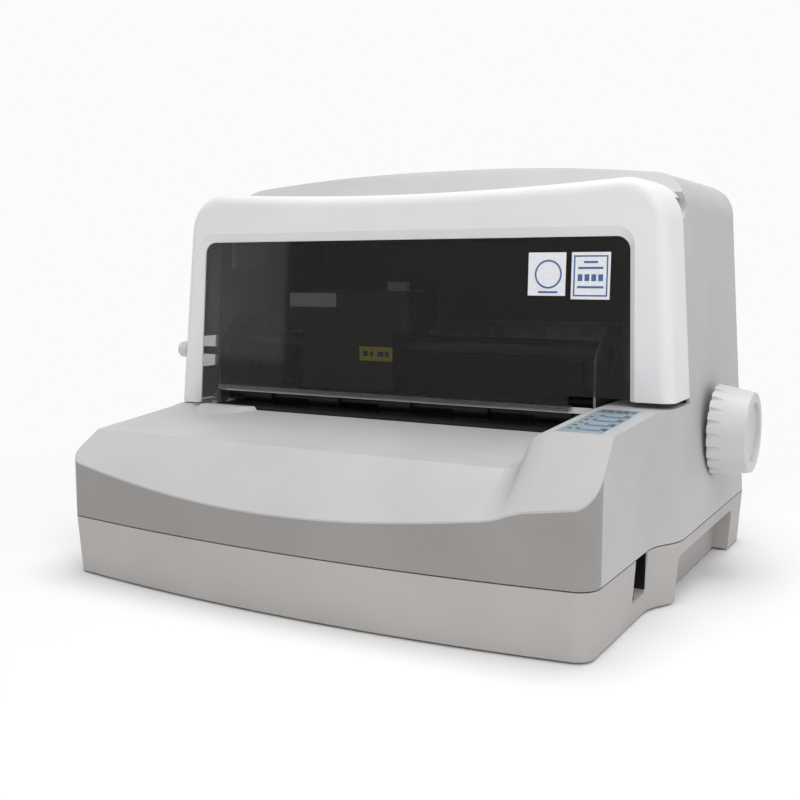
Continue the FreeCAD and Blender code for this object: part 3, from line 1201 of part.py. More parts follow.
def print_head():
    """Print head under the carriage: barrel, cooling fins and the pin nose over the print line."""
    tip = PAPER_Z + HEAD_NOSE_GAP
    barrel = rod_z(CARRIAGE_X, HEAD_Y, (HEAD_LOW_Z, CARRIAGE_LOW_Z), HEAD_R)
    nose = Part.makeCone(HEAD_NOSE_R, HEAD_R * HEAD_CONE_SHARE, HEAD_LOW_Z - tip, vec(CARRIAGE_X, HEAD_Y, tip))
    fins = [rod_z(CARRIAGE_X, HEAD_Y, (HEAD_LOW_Z + i * HEAD_FIN_PITCH, HEAD_LOW_Z + i * HEAD_FIN_PITCH
                                       + HEAD_FIN_THICKNESS), HEAD_FIN_R) for i in range(HEAD_FINS)]
    return fuse([barrel, nose] + fins)


def ribbon_cartridge():
    """Ribbon case over the head, with rounded upright corners and a spindle hole."""
    x = (CARRIAGE_X - RIBBON_HALF, CARRIAGE_X + RIBBON_HALF)
    case = block(x, (RIBBON_FRONT_Y, RIBBON_REAR_Y), (CARRIAGE_TOP_Z, RIBBON_TOP_Z))
    case = round_edges(case, RIBBON_R, lambda e: runs_along(e, "z"))
    hole = rod_z(CARRIAGE_X + RIBBON_KNOB_X, RIBBON_KNOB_Y, (RIBBON_TOP_Z - RIBBON_KNOB_HEIGHT, RIBBON_TOP_Z),
                 RIBBON_SPINDLE_R + BUSH_CLEARANCE)
    return case.cut(hole)


def ribbon_knob():
    """Knob on the ribbon case that winds the ribbon, its edge notched for the fingers."""
    x, y, base = CARRIAGE_X + RIBBON_KNOB_X, RIBBON_KNOB_Y, RIBBON_TOP_Z + RUN_GAP
    top = base + RIBBON_KNOB_HEIGHT
    head = rod_z(x, y, (base, top), RIBBON_KNOB_R)
    for i in range(RIBBON_KNOB_GRIPS):
        turn = 2 * math.pi * i / RIBBON_KNOB_GRIPS
        head = head.cut(rod_z(x + RIBBON_KNOB_R * math.cos(turn), y + RIBBON_KNOB_R * math.sin(turn),
                              (base, top), RIBBON_KNOB_NOTCH_R))
    return head.fuse(rod_z(x, y, (base - RIBBON_KNOB_HEIGHT, base), RIBBON_SPINDLE_R))


def carriage_label():
    return block((LABEL_X, LABEL_X + LABEL_WIDTH), (CARRIAGE_FRONT_Y - LABEL_THICKNESS, CARRIAGE_FRONT_Y),
                 (LABEL_TOP_Z - LABEL_HEIGHT, LABEL_TOP_Z))


def name_plate():
    return block((PLATE_X, PLATE_X + PLATE_WIDTH), (RIBBON_FRONT_Y - LABEL_THICKNESS, RIBBON_FRONT_Y),
                 (PLATE_TOP_Z - PLATE_HEIGHT, PLATE_TOP_Z))


def timing_belt():
    """Closed belt round both pulleys, lying flat behind the carriage."""
    r0, r1 = PULLEY_R + RUN_GAP / 3, PULLEY_R + BELT_THICKNESS
    z = (BELT_Z - BELT_WIDTH / 2, BELT_Z + BELT_WIDTH / 2)

    def loop(radius):
        y0, y1 = BELT_Y - radius, BELT_Y + radius
        return prism_z([(PULLEY_LEFT_X, y0), (PULLEY_RIGHT_X, y0), ((PULLEY_RIGHT_X + radius, BELT_Y),
                        (PULLEY_RIGHT_X, y1)), (PULLEY_LEFT_X, y1), ((PULLEY_LEFT_X - radius, BELT_Y),
                        (PULLEY_LEFT_X, y0))], z[0], z[1])

    return loop(r1).cut(loop(r0))


def pulley(x):
    """Flanged pulley on an upright spindle."""
    z0, z1 = BELT_Z - BELT_WIDTH / 2, BELT_Z + BELT_WIDTH / 2
    drum = rod_z(x, BELT_Y, (z0 - RUN_GAP, z1 + RUN_GAP), PULLEY_R)
    low = rod_z(x, BELT_Y, (z0 - RUN_GAP - PULLEY_FLANGE, z0 - RUN_GAP), PULLEY_FLANGE_R)
    high = rod_z(x, BELT_Y, (z1 + RUN_GAP, z1 + RUN_GAP + PULLEY_FLANGE), PULLEY_FLANGE_R)
    return fuse([drum, low, high])


def motor_pulley():
    low = BRACKET_TOP_Z - FRAME_THICKNESS - BELT_MOTOR_LENGTH / 2
    return pulley(PULLEY_RIGHT_X).fuse(rod_z(PULLEY_RIGHT_X, BELT_Y, (low, BELT_Z), PULLEY_SHAFT_R))


def belt_motor():
    """Carriage motor under the right bracket, bored for its pulley's shaft."""
    top = BRACKET_TOP_Z - FRAME_THICKNESS
    can = rod_z(PULLEY_RIGHT_X, BELT_Y, (top - BELT_MOTOR_LENGTH, top), BELT_MOTOR_R)
    return can.cut(rod_z(PULLEY_RIGHT_X, BELT_Y, (top - BELT_MOTOR_LENGTH / 2 - RUN_GAP, top),
                         PULLEY_SHAFT_R + BUSH_CLEARANCE))


def idler_pulley():
    wheel = pulley(PULLEY_LEFT_X)
    return wheel.cut(rod_z(PULLEY_LEFT_X, BELT_Y, (BRACKET_TOP_Z, BRACKET_TOP_Z + OVERRUN),
                           PULLEY_SHAFT_R + BUSH_CLEARANCE))


def belt_brackets():
    """Plates on the two frames: the left with the idler pulley's spindle, the right over the motor."""
    y, z = (BELT_Y - BRACKET_HALF, BELT_Y + BRACKET_HALF), (BRACKET_TOP_Z - FRAME_THICKNESS, BRACKET_TOP_Z)
    left = block((FRAME_LEFT_X, PULLEY_LEFT_X + BRACKET_HALF), y, z)
    spindle = rod_z(PULLEY_LEFT_X, BELT_Y, (BRACKET_TOP_Z, BELT_Z + BELT_WIDTH), PULLEY_SHAFT_R)
    right = block((PULLEY_RIGHT_X - BRACKET_HALF, FRAME_RIGHT_X), y, z)
    hole = rod_z(PULLEY_RIGHT_X, BELT_Y, z, PULLEY_SHAFT_R + RUN_GAP)
    return Part.makeCompound([fuse([left, spindle]), right.cut(hole)])


def gap_lever():
    """Lever on the left frame: hub, arm and the finger that passes the cover's slot."""
    dy, dz = LEVER_TIP_Y - LEVER_PIVOT_Y, LEVER_TIP_Z - LEVER_PIVOT_Z
    length = math.hypot(dy, dz)
    half = LEVER_WIDTH / 2
    arm = block((LEVER_X, LEVER_X + LEVER_THICKNESS), (LEVER_PIVOT_Y, LEVER_PIVOT_Y + length),
                (LEVER_PIVOT_Z - half, LEVER_PIVOT_Z + half))
    arm.rotate(vec(0, LEVER_PIVOT_Y, LEVER_PIVOT_Z), vec(1, 0, 0), math.degrees(math.atan2(dz, dy)))
    hub = rod_x((LEVER_X, LEVER_X + LEVER_THICKNESS), LEVER_PIVOT_Y, LEVER_PIVOT_Z, LEVER_HUB_R)
    finger = rod_x((lever_knob_x(), LEVER_X + LEVER_THICKNESS), LEVER_TIP_Y, LEVER_TIP_Z, half)
    lever = fuse([arm, hub, finger])
    return lever.cut(rod_x((LEVER_X - OVERRUN, LEVER_X + OVERRUN), LEVER_PIVOT_Y, LEVER_PIVOT_Z,
                           LEVER_PIN_R + BUSH_CLEARANCE))


def lever_knob_x():
    return -case_half(REAR_HALF, LEVER_TIP_Z) - LEVER_REACH


def lever_knob():
    x = lever_knob_x()
    knob = rod_x((x - LEVER_KNOB_LENGTH, x), LEVER_TIP_Y, LEVER_TIP_Z, LEVER_KNOB_R)
    return round_edges(knob, LEVER_KNOB_R / 3, lambda e: len(e.Vertexes) == 1)


def panel_film():
    x, y = panel_span()
    film = on_panel(block(x, y, (POD_FRONT_Z - PANEL_FILM, POD_FRONT_Z)))
    for tool in panel_holes(POD_FRONT_Z - OVERRUN, POD_FRONT_Z + OVERRUN):
        film = film.cut(tool)
    return film


def panel_button(index):
    x, y = button_places()[index]
    half_x, half_y, stem = BUTTON_WIDTH / 2, BUTTON_LENGTH / 2, BUTTON_STEM / 2
    cap = block((x - half_x, x + half_x), (y - half_y, y + half_y), (POD_FRONT_Z - BUTTON_DEPTH / 2,
                                                                      POD_FRONT_Z + BUTTON_RISE))
    post = block((x - stem, x + stem), (y - stem, y + stem), (POD_FRONT_Z - BUTTON_DEPTH, POD_FRONT_Z))
    return on_panel(cap.fuse(post).removeSplitter())


def indicator_lenses():
    low = POD_FRONT_Z - board_drop()
    return Part.makeCompound([on_panel(rod_z(x, y, (low, POD_FRONT_Z), LENS_R)) for x, y in lens_places()])


def board_drop():
    return BUTTON_DEPTH + BUTTON_TRAVEL + RUN_GAP


def panel_board():
    """Switch board under the pod, on two standoffs that reach its top."""
    (left, right), (front, back) = panel_span()
    top = POD_FRONT_Z - board_drop()
    board = block((left, right), (front, back), (top - PANEL_BOARD, top))
    posts = [block((left, left + BUTTON_STEM), (y, y + BUTTON_STEM), (top, POD_FRONT_Z - CASE_WALL))
             for y in (front + RUN_GAP, back - BUTTON_STEM - RUN_GAP)]
    return on_panel(fuse([board] + posts))


def switch_body():
    body = switch_body_block(0)
    x1 = FRONT_HALF - SWITCH_DEPTH
    cavity_y = SWITCH_BODY_WIDTH / 2 - ROCKER_WALL
    cavity_z = SWITCH_BODY_HEIGHT / 2 - ROCKER_WALL
    cut = block((x1 - ROCKER_R - ROCKER_WALL, x1 + OVERRUN), (SWITCH_Y - cavity_y, SWITCH_Y + cavity_y),
                (switch_z() - cavity_z, switch_z() + cavity_z))
    pin = rod_y(x1 - ROCKER_R / 2, (SWITCH_Y - cavity_y, SWITCH_Y + cavity_y), switch_z(), ROCKER_PIN_R)
    flange_y, flange_z = SWITCH_BODY_WIDTH / 2 + ROCKER_WALL, SWITCH_BODY_HEIGHT / 2
    flange = block((x1, x1 + ROCKER_WALL), (SWITCH_Y - flange_y, SWITCH_Y + flange_y),
                   (switch_z() - flange_z, switch_z() + flange_z))
    return fuse([body.fuse(flange).cut(cut), pin])


def power_rocker():
    """Rocker that tilts about a pin across the switch."""
    x1 = FRONT_HALF - SWITCH_DEPTH
    axis_x = x1 - ROCKER_R / 2
    half_y = SWITCH_BODY_WIDTH / 2 - ROCKER_WALL - ROCKER_GAP
    half_z = SWITCH_BODY_HEIGHT / 2 - ROCKER_WALL - ROCKER_GAP * 3
    y0, y1 = SWITCH_Y - half_y, SWITCH_Y + half_y
    face = x1 + ROCKER_RISE
    steps = [(axis_x - ROCKER_PIN_R * 2, switch_z() - ROCKER_PIN_R * 2), (face, switch_z() - half_z),
             ((face - ROCKER_RISE / 2, switch_z()), (face, switch_z() + half_z)),
             (axis_x - ROCKER_PIN_R * 2, switch_z() + ROCKER_PIN_R * 2)]
    rocker = prism_y(steps, y0, y1)
    rocker = rocker.cut(rod_y(axis_x, (y0, y1), switch_z(), ROCKER_PIN_R + BUSH_CLEARANCE))
    rocker.rotate(vec(axis_x, 0, switch_z()), vec(0, 1, 0), -ROCKER_TILT)
    return rocker


def rubber_feet():
    return Part.makeCompound([rod_z(x, y, (0, STAND + FOOT_POCKET), FOOT_R) for x, y in foot_places()])


def case_screws():
    screws = []
    for x, y in screw_places():
        head_top = STAND + SCREW_RECESS
        shank = rod_z(x, y, (head_top, SHELL_LOW_Z + SCREW_ENGAGEMENT), SCREW_R)
        screws.append(shank.fuse(rod_z(x, y, (head_top - SCREW_HEAD, head_top), SCREW_HEAD_R)))
    return Part.makeCompound(screws)


def main_board():
    """Circuit board in front of the mechanism, on spacers from the base plate."""
    low = BASE_Z + BOARD_RISE
    x, y = (BOARD_LEFT_X, BOARD_RIGHT_X), (BOARD_FRONT_Y, BOARD_REAR_Y)
    inset = SCREW_HEAD_R * 2
    feet = [rod_z(px, py, (BASE_Z, low), SCREW_HEAD_R) for px in (x[0] + inset, x[1] - inset)
            for py in (y[0] + inset, y[1] - inset)]
    return fuse([block(x, y, (low, low + BOARD_THICKNESS))] + feet)


def board_chips():
    low = BASE_Z + BOARD_RISE + BOARD_THICKNESS
    return Part.makeCompound([block((x - w / 2, x + w / 2), (y - d / 2, y + d / 2), (low, low + h))
                              for x, y, w, d, h in CHIP_SIZES])


def supply_tray():
    """Open steel tray of the power supply, standing on the base plate."""
    x, y, wall = (SUPPLY_LEFT_X, SUPPLY_RIGHT_X), (SUPPLY_FRONT_Y, SUPPLY_REAR_Y), SUPPLY_SHEET
    tray = block(x, y, (BASE_Z, SUPPLY_TOP_Z))
    return tray.cut(block((x[0] + wall, x[1] - wall), (y[0] + wall, y[1] - wall),
                          (BASE_Z + wall, SUPPLY_TOP_Z + OVERRUN)))


def transformer():
    gap = TRANSFORMER_GAP + SUPPLY_SHEET
    low = BASE_Z + SUPPLY_SHEET
    core = block((SUPPLY_LEFT_X + gap, SUPPLY_LEFT_X + gap + (SUPPLY_RIGHT_X - SUPPLY_LEFT_X) / 2),
                 (SUPPLY_FRONT_Y + gap, SUPPLY_REAR_Y - gap), (low, SUPPLY_TOP_Z - gap))
    return core


def mains_inlet():
    """Mains inlet in the rear wall: flanged shell with three prongs."""
    x, z = inlet_hole()
    flange = INLET_FLANGE
    shell = block((x[0] + RUN_GAP, x[1] - RUN_GAP), (REAR_Y - INLET_DEPTH, REAR_Y), (z[0] + RUN_GAP, z[1] - RUN_GAP))
    shell = shell.fuse(block((x[0] - flange, x[1] + flange), (REAR_Y, REAR_Y + INLET_FLANGE_THICKNESS),
                             (z[0] - flange, z[1] + flange)))
    wall = INLET_BORE_WALL
    mouth = REAR_Y + INLET_FLANGE_THICKNESS
    shell = shell.cut(block((x[0] + wall, x[1] - wall), (mouth - INLET_BORE_DEPTH, mouth + OVERRUN),
                            (z[0] + wall, z[1] - wall)))
    root = mouth - INLET_BORE_DEPTH
    prongs = []
    for i in (-1, 0, 1):
        px = INLET_X + i * INLET_WIDTH / 4
        pz = INLET_Z + (INLET_HEIGHT / 8 if i == 0 else -INLET_HEIGHT / 8)
        prongs.append(block((px - PRONG_THICKNESS / 2, px + PRONG_THICKNESS / 2), (root - SLIGHT, root + PRONG_LENGTH),
                            (pz - PRONG_WIDTH / 2, pz + PRONG_WIDTH / 2)))
    return fuse([shell] + prongs)


def framed_socket(hole, depth, rim, tongue):
    """Interface socket: a frame in the rear wall round a contact tongue."""
    x, z = hole
    y0, y1 = REAR_Y - depth, REAR_Y + rim / 2
    body = block((x[0] + RUN_GAP, x[1] - RUN_GAP), (y0, y1), (z[0] + RUN_GAP, z[1] - RUN_GAP))
    body = body.cut(block((x[0] + rim, x[1] - rim), (y0 + rim, y1 + OVERRUN), (z[0] + rim, z[1] - rim)))
    middle = (z[0] + z[1]) / 2
    bar = block((x[0] + rim * 2, x[1] - rim * 2), (y0 + rim, y1 - depth / 2), (middle - tongue, middle + tongue))
    return fuse([body, bar])


def interface_ports():
    return Part.makeCompound([framed_socket(port_hole(), PORT_DEPTH, PORT_RIM, PORT_RIM / 2),
                              framed_socket(usb_hole(), USB_DEPTH, USB_RIM, USB_RIM)])


def casework():
    nodes = {
        "lower_case": lower_case(),
        "upper_case": upper_case(),
        "front_band": front_band(),
        "front_cover": front_cover(),
        "cover_window": cover_window(),
        "window_stickers": window_stickers(),
        "cover_hinge_pins": hinge_pins(),
        "panel_film": panel_film(),
        "indicator_lenses": indicator_lenses(),
        "panel_board": panel_board(),
        "rubber_feet": rubber_feet(),
        "case_screws": case_screws(),
        "switch_body": switch_body(),
        "power_rocker": power_rocker(),
    }
    for index in range(BUTTONS):
        nodes["panel_button_" + str(index + 1)] = panel_button(index)
    return nodes


def paper_feed():
    return {
        "base_plate": base_plate(),
        "left_side_frame": left_side_frame(),
        "right_side_frame": side_frame(FRAME_RIGHT_X),
        "frame_studs": frame_studs(),
        "feed_bushes": feed_bushes(),
        "rear_tie_bar": tie_bar(),
        "guide_strip": guide_strip(),
        "paper_guide": guide_plate(),
        "print_bed": print_bed(),
        "bed_rubber": bed_rubber(),
        "rear_feed_shaft": rear_feed_shaft(),
        "rear_feed_rollers": rollers(REAR_AXIS_Y, FEED_AXIS_Z, ROLLER_R, SHAFT_R),
        "rear_feed_gear": feed_gear(REAR_AXIS_Y, 180),
        "feed_knob": feed_knob(),
        "front_feed_shaft": front_feed_shaft(),
        "front_feed_rollers": rollers(FRONT_AXIS_Y, FEED_AXIS_Z, ROLLER_R, SHAFT_R),
        "front_feed_gear": feed_gear(FRONT_AXIS_Y, 0),
        "idler_gear": idler_gear(),
        "motor_pinion": motor_pinion(),
        "feed_motor": feed_motor(),
        "rear_pinch_rollers": pinch_set(REAR_AXIS_Y),
        "front_pinch_rollers": pinch_set(FRONT_AXIS_Y),
    }


def print_mechanism():
    return {
        "carriage_shaft": carriage_shaft(),
        "carriage": carriage(),
        "print_head": print_head(),
        "ribbon_cartridge": ribbon_cartridge(),
        "ribbon_knob": ribbon_knob(),
        "carriage_label": carriage_label(),
        "name_plate": name_plate(),
        "timing_belt": timing_belt(),
        "motor_pulley": motor_pulley(),
        "idler_pulley": idler_pulley(),
        "belt_motor": belt_motor(),
        "belt_brackets": belt_brackets(),
        "gap_lever": gap_lever(),
        "lever_knob": lever_knob(),
    }


def electrics():
    return {
        "main_board": main_board(),
        "board_chips": board_chips(),
        "supply_tray": supply_tray(),
        "transformer": transformer(),
        "mains_inlet": mains_inlet(),
        "interface_ports": interface_ports(),
    }


def origin():
    """Middle of the printer's depth and width, knob and lever included, on its standing surface."""
    left, right = lever_knob_x() - LEVER_KNOB_LENGTH, KNOB_X + KNOB_LENGTH
    front, back = FRONT_Y - BOW, REAR_Y + INLET_FLANGE_THICKNESS
    return vec((left + right) / 2, (front + back) / 2, 0)


ORIGIN = origin()
NODES = {**casework(), **paper_feed(), **print_mechanism(), **electrics()}
os.makedirs("parts", exist_ok=True)
for node_name, node_shape in NODES.items():
    node_shape.translate(-ORIGIN)
    node_shape.exportStep("parts/" + node_name + ".step")
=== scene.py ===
"""Looks of the flatbed dot matrix printer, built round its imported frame."""
import math

import bmesh
import bpy
from mathutils import Matrix, Vector


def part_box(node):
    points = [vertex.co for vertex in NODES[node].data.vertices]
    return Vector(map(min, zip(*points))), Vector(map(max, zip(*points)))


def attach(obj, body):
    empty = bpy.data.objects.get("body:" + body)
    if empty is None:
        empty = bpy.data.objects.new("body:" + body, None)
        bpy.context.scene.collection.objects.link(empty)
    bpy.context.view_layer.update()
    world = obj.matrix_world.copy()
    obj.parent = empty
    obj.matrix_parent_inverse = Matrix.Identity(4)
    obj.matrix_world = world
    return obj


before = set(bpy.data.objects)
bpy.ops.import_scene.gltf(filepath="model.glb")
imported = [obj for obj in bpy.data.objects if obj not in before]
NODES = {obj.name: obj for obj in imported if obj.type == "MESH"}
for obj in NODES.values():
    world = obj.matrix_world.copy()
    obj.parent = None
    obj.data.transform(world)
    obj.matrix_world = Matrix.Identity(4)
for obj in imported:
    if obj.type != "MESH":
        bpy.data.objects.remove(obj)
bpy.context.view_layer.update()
MM = 0.001
X, Y, Z = 0, 1, 2

# Where the photograph was taken from; its lens, picture width and near limit in millimetres
CAMERA_PLACE = (342.0 * MM, -651.2 * MM, 201.8 * MM)
CAMERA_FORWARD = (-0.4861, 0.8655, -0.1208)
CAMERA_UP = (-0.0592, 0.1053, 0.9927)
CAMERA_LENS = 47.475
PICTURE_WIDTH = 36.0
CAMERA_NEAR = 10.0

# Slopes that the printed pieces lie on, as run back by height and as rise by depth
PANE_LEAN = 0.04
PANEL_SLOPE = 3.5 / 84.0
# Height that the print on the stickers leans back from, and thickness of all print
STICKER_FOOT = 184.7
PRINT = 0.12

# Studio: level of the surroundings, and how far from its middle, in metres, the floor starts
# to turn plain white and is so all over
WORLD_LIGHT = 0.42
FADE_START, FADE_END = 0.26, 0.6
FLOOR_HALF = 6.0
BACKDROP_WHITE = "#fbfbfb"
# Dark card whose grey is a painted reflection in the pane: its spans in millimetres
CARD_SPANS = ((-730.0, -120.0), (-905.0, -900.0), (-4.0, 420.0))
# Soft lamps: name, place and aim in metres, width in metres, and power in watts
LAMPS = (
    ("key_light", (1.3, -1.2, 1.4), (0.0, 0.0, 0.14), 1.2, 9.0),
    ("front_fill", (0.3, -0.95, 0.85), (0.0, 0.0, 0.2), 0.6, 1.5),
    ("top_light", (0.1, 0.2, 2.2), (0.0, 0.0, 0.1), 1.6, 28.0),
)

# Size in millimetres of the clouds in moulded plastic and of the wipe marks on the pane
CLOUD_MM = 60
WIPE_MM = 18
# Streaks of rolled or ground steel: scale of their pattern along the axis, against 1 across it,
# and their depth in millimetres
STREAK_STRETCH = 0.02
STREAK_DEPTH = 0.05


def linear(hex_code):
    """An sRGB hex colour as the linear numbers that the shaders take."""
    shades = [int(hex_code[i:i + 2], 16) / 255 for i in (1, 3, 5)]
    levels = [s / 12.92 if s <= 0.04045 else ((s + 0.055) / 1.055) ** 2.4 for s in shades]
    return tuple(levels) + (1.0,)


def add_node(tree, kind, settings=None, links=None):
    """Adds a node with its settings, which are sockets or properties, and its links."""
    node = tree.nodes.new(kind)
    for name, value in (settings or {}).items():
        if name in node.inputs:
            node.inputs[name].default_value = value
        else:
            setattr(node, name, value)
    for name, output in (links or {}).items():
        tree.links.new(output, node.inputs[name])
    return node


def add_noise(tree, place, size_mm, detail):
    """Cloudy pattern with clouds of about this size."""
    settings = {"Scale": 1 / (size_mm * MM), "Detail": detail}
    return add_node(tree, "ShaderNodeTexNoise", settings, {"Vector": place}).outputs["Fac"]


def add_math(tree, operation, first, second):
    """Result of an operation on two outputs of other nodes."""
    node = add_node(tree, "ShaderNodeMath", {"operation": operation})
    tree.links.new(first, node.inputs[0])
    tree.links.new(second, node.inputs[1])
    return node.outputs[0]


def mix_shaders(tree, share, first, second):
    """Goes from the first shader to the second as the share goes from 0 to 1."""
    mix = add_node(tree, "ShaderNodeMixShader", links={"Fac": share})
    tree.links.new(first, mix.inputs[1])
    tree.links.new(second, mix.inputs[2])
    return mix.outputs[0]


def start_material(name, **sockets):
    """A material whose shader has these constants, and the object's own coordinates."""
    material = bpy.data.materials.new(name)
    material.use_nodes = True
    tree = material.node_tree
    shader = tree.nodes["Principled BSDF"]
    for socket, value in sockets.items():
        shader.inputs[socket.replace("_", " ")].default_value = value
    place = add_node(tree, "ShaderNodeTexCoord").outputs["Object"]
    return material, tree, shader, place


def two_tones(tree, shader, pattern, dark, light, low=0.35, high=0.65):
    """Base colour that runs from one tone to the other with a pattern."""
    ramp = add_node(tree, "ShaderNodeValToRGB", links={"Fac": pattern})
    for element, position, colour in zip(ramp.color_ramp.elements, (low, high), (dark, light)):
        element.position = position
        element.color = linear(colour)
    tree.links.new(ramp.outputs["Color"], shader.inputs["Base Color"])


def rough_range(tree, shader, pattern, low, high):
    """Roughness that follows a pattern."""
    ends = {"To Min": low, "To Max": high}
    spread = add_node(tree, "ShaderNodeMapRange", ends, {"Value": pattern})
    tree.links.new(spread.outputs["Result"], shader.inputs["Roughness"])


def relief(tree, shader, pattern, depth_mm, strength):
    """Fine relief of the surface, by a pattern and its depth."""
    depth = {"Strength": strength, "Distance": depth_mm * MM}
    bump = add_node(tree, "ShaderNodeBump", depth, {"Height": pattern})
    tree.links.new(bump.outputs["Normal"], shader.inputs["Normal"])


def moulded_plastic(name, dark, light, roughness, grain_mm, depth_mm):
    """Moulded plastic: a spark-eroded grain and a cloudy tone a few centimetres across."""
    material, tree, shader, place = start_material(name, IOR=1.53)
    spread = 0.07
    cloud = add_noise(tree, place, CLOUD_MM, detail=3.0)
    grain = add_noise(tree, place, grain_mm, detail=2.0)
    two_tones(tree, shader, cloud, dark, light)
    rough_range(tree, shader, grain, roughness - spread, roughness + spread)
    relief(tree, shader, grain, depth_mm, strength=0.35)
    return material


def rolled_steel(name, dark, light, roughness, streak_mm, along):
    """Steel with the streaks of its rolling or grinding along one axis."""
    material, tree, shader, place = start_material(name, Metallic=1.0)
    smoother, rougher = 0.08, 0.1
    stretch = [1.0, 1.0, 1.0]
    stretch[along] = STREAK_STRETCH
    turned = add_node(tree, "ShaderNodeMapping", {"Scale": stretch}, {"Vector": place})
    streaks = add_noise(tree, turned.outputs["Vector"], streak_mm, detail=4.0)
    two_tones(tree, shader, streaks, dark, light)
    rough_range(tree, shader, streaks, roughness - smoother, roughness + rougher)
    relief(tree, shader, streaks, STREAK_DEPTH, strength=0.3)
    return material


def galvanised_steel(name, dark, light, spangle_mm):
    """Galvanised sheet: flat crystals of zinc, each a little lighter or darker."""
    material, tree, shader, place = start_material(name, Metallic=0.85)
    size = {"Scale": 1 / (spangle_mm * MM)}
    crystals = add_node(tree, "ShaderNodeTexVoronoi", size, {"Vector": place})
    tone = add_node(tree, "ShaderNodeSeparateColor", links={"Color": crystals.outputs["Color"]})
    two_tones(tree, shader, tone.outputs["Red"], dark, light, low=0.1, high=0.9)
    rough_range(tree, shader, tone.outputs["Green"], low=0.34, high=0.5)
    return material


def coated(name, dark, light, roughness, speck_mm, coat):
    """A printed or lacquered surface: even colour, faint specks and a clear coat."""
    material, tree, shader, place = start_material(name, Coat_Weight=coat, Coat_Roughness=0.08)
    spread = 0.05
    specks = add_noise(tree, place, speck_mm, detail=5.0)
    two_tones(tree, shader, specks, dark, light)
    rough_range(tree, shader, specks, roughness - spread, roughness + spread)
    return material


def ground_rubber(name, dark, light, grain_mm):
    """Rubber with the dull, pitted skin that grinding leaves."""
    material, tree, shader, place = start_material(name, IOR=1.52)
    pits = add_noise(tree, place, grain_mm, detail=6.0)
    two_tones(tree, shader, pits, dark, light)
    rough_range(tree, shader, pits, low=0.7, high=0.95)
    relief(tree, shader, pits, depth_mm=0.1, strength=0.6)
    return material


def smoked_pane(name):
    """Smoked polycarbonate: dark, clear and polished, with hairline wipe marks in its gloss."""
    material, tree, shader, place = start_material(
        name, IOR=1.58, Alpha=0.42, Base_Color=linear("#1f1f21"), Specular_IOR_Level=0.6)
    wipes = add_noise(tree, place, WIPE_MM, detail=8.0)
    rough_range(tree, shader, wipes, low=0.02, high=0.09)
    return material


# Finishes of this printer. The grains are drawn about twice as coarse as the real ones, so that
# they show at all. After its two tones a moulded plastic has its roughness, grain and relief,
# a steel its roughness, streaks and their axis, a coated surface its roughness, specks and coat,
# galvanised sheet its crystals and rubber its grain, all sizes in millimetres.
COVER_ABS = moulded_plastic("white_abs_fine_spark_grain", "#e8e8ea", "#ececee", 0.42, 1.3, 0.04)
CASE_ABS = moulded_plastic("pale_grey_abs_spark_grain", "#bab9ba", "#c0bfc0", 0.5, 1.6, 0.07)
CASING_ABS = moulded_plastic("warm_grey_abs_spark_grain", "#b2afad", "#b8b5b3", 0.55, 1.6, 0.08)
# Front band: its mid grey is partly the trim's own darker plastic and partly painted shade of its
# undercut face.
BAND_ABS_AND_PAINTED_SHADE = moulded_plastic("grey_abs_trim_and_painted_shade", "#94918f", "#9a9795", 0.5, 1.2, 0.05)
KNOB_ABS = moulded_plastic("white_abs_turning_knob", "#cbcac9", "#d2d1d0", 0.45, 1.3, 0.04)
BLACK_ABS = moulded_plastic("black_abs_matt", "#0e0e10", "#17171a", 0.5, 1.4, 0.08)
RIBBON_CASE_PS = moulded_plastic("black_polystyrene_satin", "#101012", "#19191c", 0.36, 1.0, 0.03)
SWITCH_PA = moulded_plastic("black_polyamide_satin", "#0b0b0c", "#121214", 0.32, 0.8, 0.02)
KEY_ABS = moulded_plastic("blue_grey_abs_key", "#8fa0ad", "#99aab6", 0.45, 1.0, 0.03)
GEAR_POM = moulded_plastic("natural_acetal_gear", "#dedbd0", "#e8e5da", 0.35, 0.9, 0.02)
MOTOR_PAINT = coated("black_stoved_enamel", "#0d0d0f", "#161618", 0.35, 3.0, 0.3)
FRAME_STEEL = galvanised_steel("galvanised_sheet_steel", "#8b8d8f", "#9da0a2", 7.0)
BED_ENAMEL = coated("black_enamelled_bed_sheet", "#131314", "#1b1b1d", 0.45, 3.0, 0.1)
STRIP_STEEL = rolled_steel("bright_rolled_strip_steel", "#b9bbbd", "#dcdee0", 0.24, 1.2, X)
SHAFT_STEEL = rolled_steel("ground_shaft_steel", "#8f9193", "#b8babc", 0.2, 0.8, X)
RAIL_STEEL = rolled_steel("oiled_rail_steel", "#37383a", "#505254", 0.3, 0.8, X)
SCREW_STEEL = rolled_steel("zinc_plated_screw_steel", "#85878a", "#a9abad", 0.3, 0.9, Z)
HEAD_ALUMINIUM = rolled_steel("black_anodised_aluminium", "#1f1f22", "#343438", 0.4, 1.0, Z)
PULLEY_ALUMINIUM = rolled_steel("turned_aluminium", "#a8aaad", "#c6c8ca", 0.28, 0.7, Z)
CORE_IRON = rolled_steel("varnished_core_laminations", "#2d2723", "#4a4039", 0.5, 0.9, X)
ROLLER_RUBBER = ground_rubber("ground_black_rubber", "#101011", "#1c1c1e", 0.9)
FOOT_RUBBER = ground_rubber("moulded_foot_rubber", "#141414", "#202021", 1.2)
BELT_RUBBER = ground_rubber("woven_back_belt_rubber", "#0c0c0c", "#181818", 0.8)
PANEL_PET = coated("blue_grey_printed_film", "#a3b3bf", "#adbdc8", 0.3, 4.0, 0.4)
LABEL_PAPER = coated("white_coated_paper", "#eef0f4", "#f6f8fb", 0.4, 2.0, 0.2)
YELLOW_PAPER = coated("yellow_coated_paper", "#cfc32a", "#dccf35", 0.4, 2.0, 0.2)
PLATE_FILM = coated("pale_grey_name_plate", "#b9bab6", "#c4c5c1", 0.35, 2.0, 0.3)
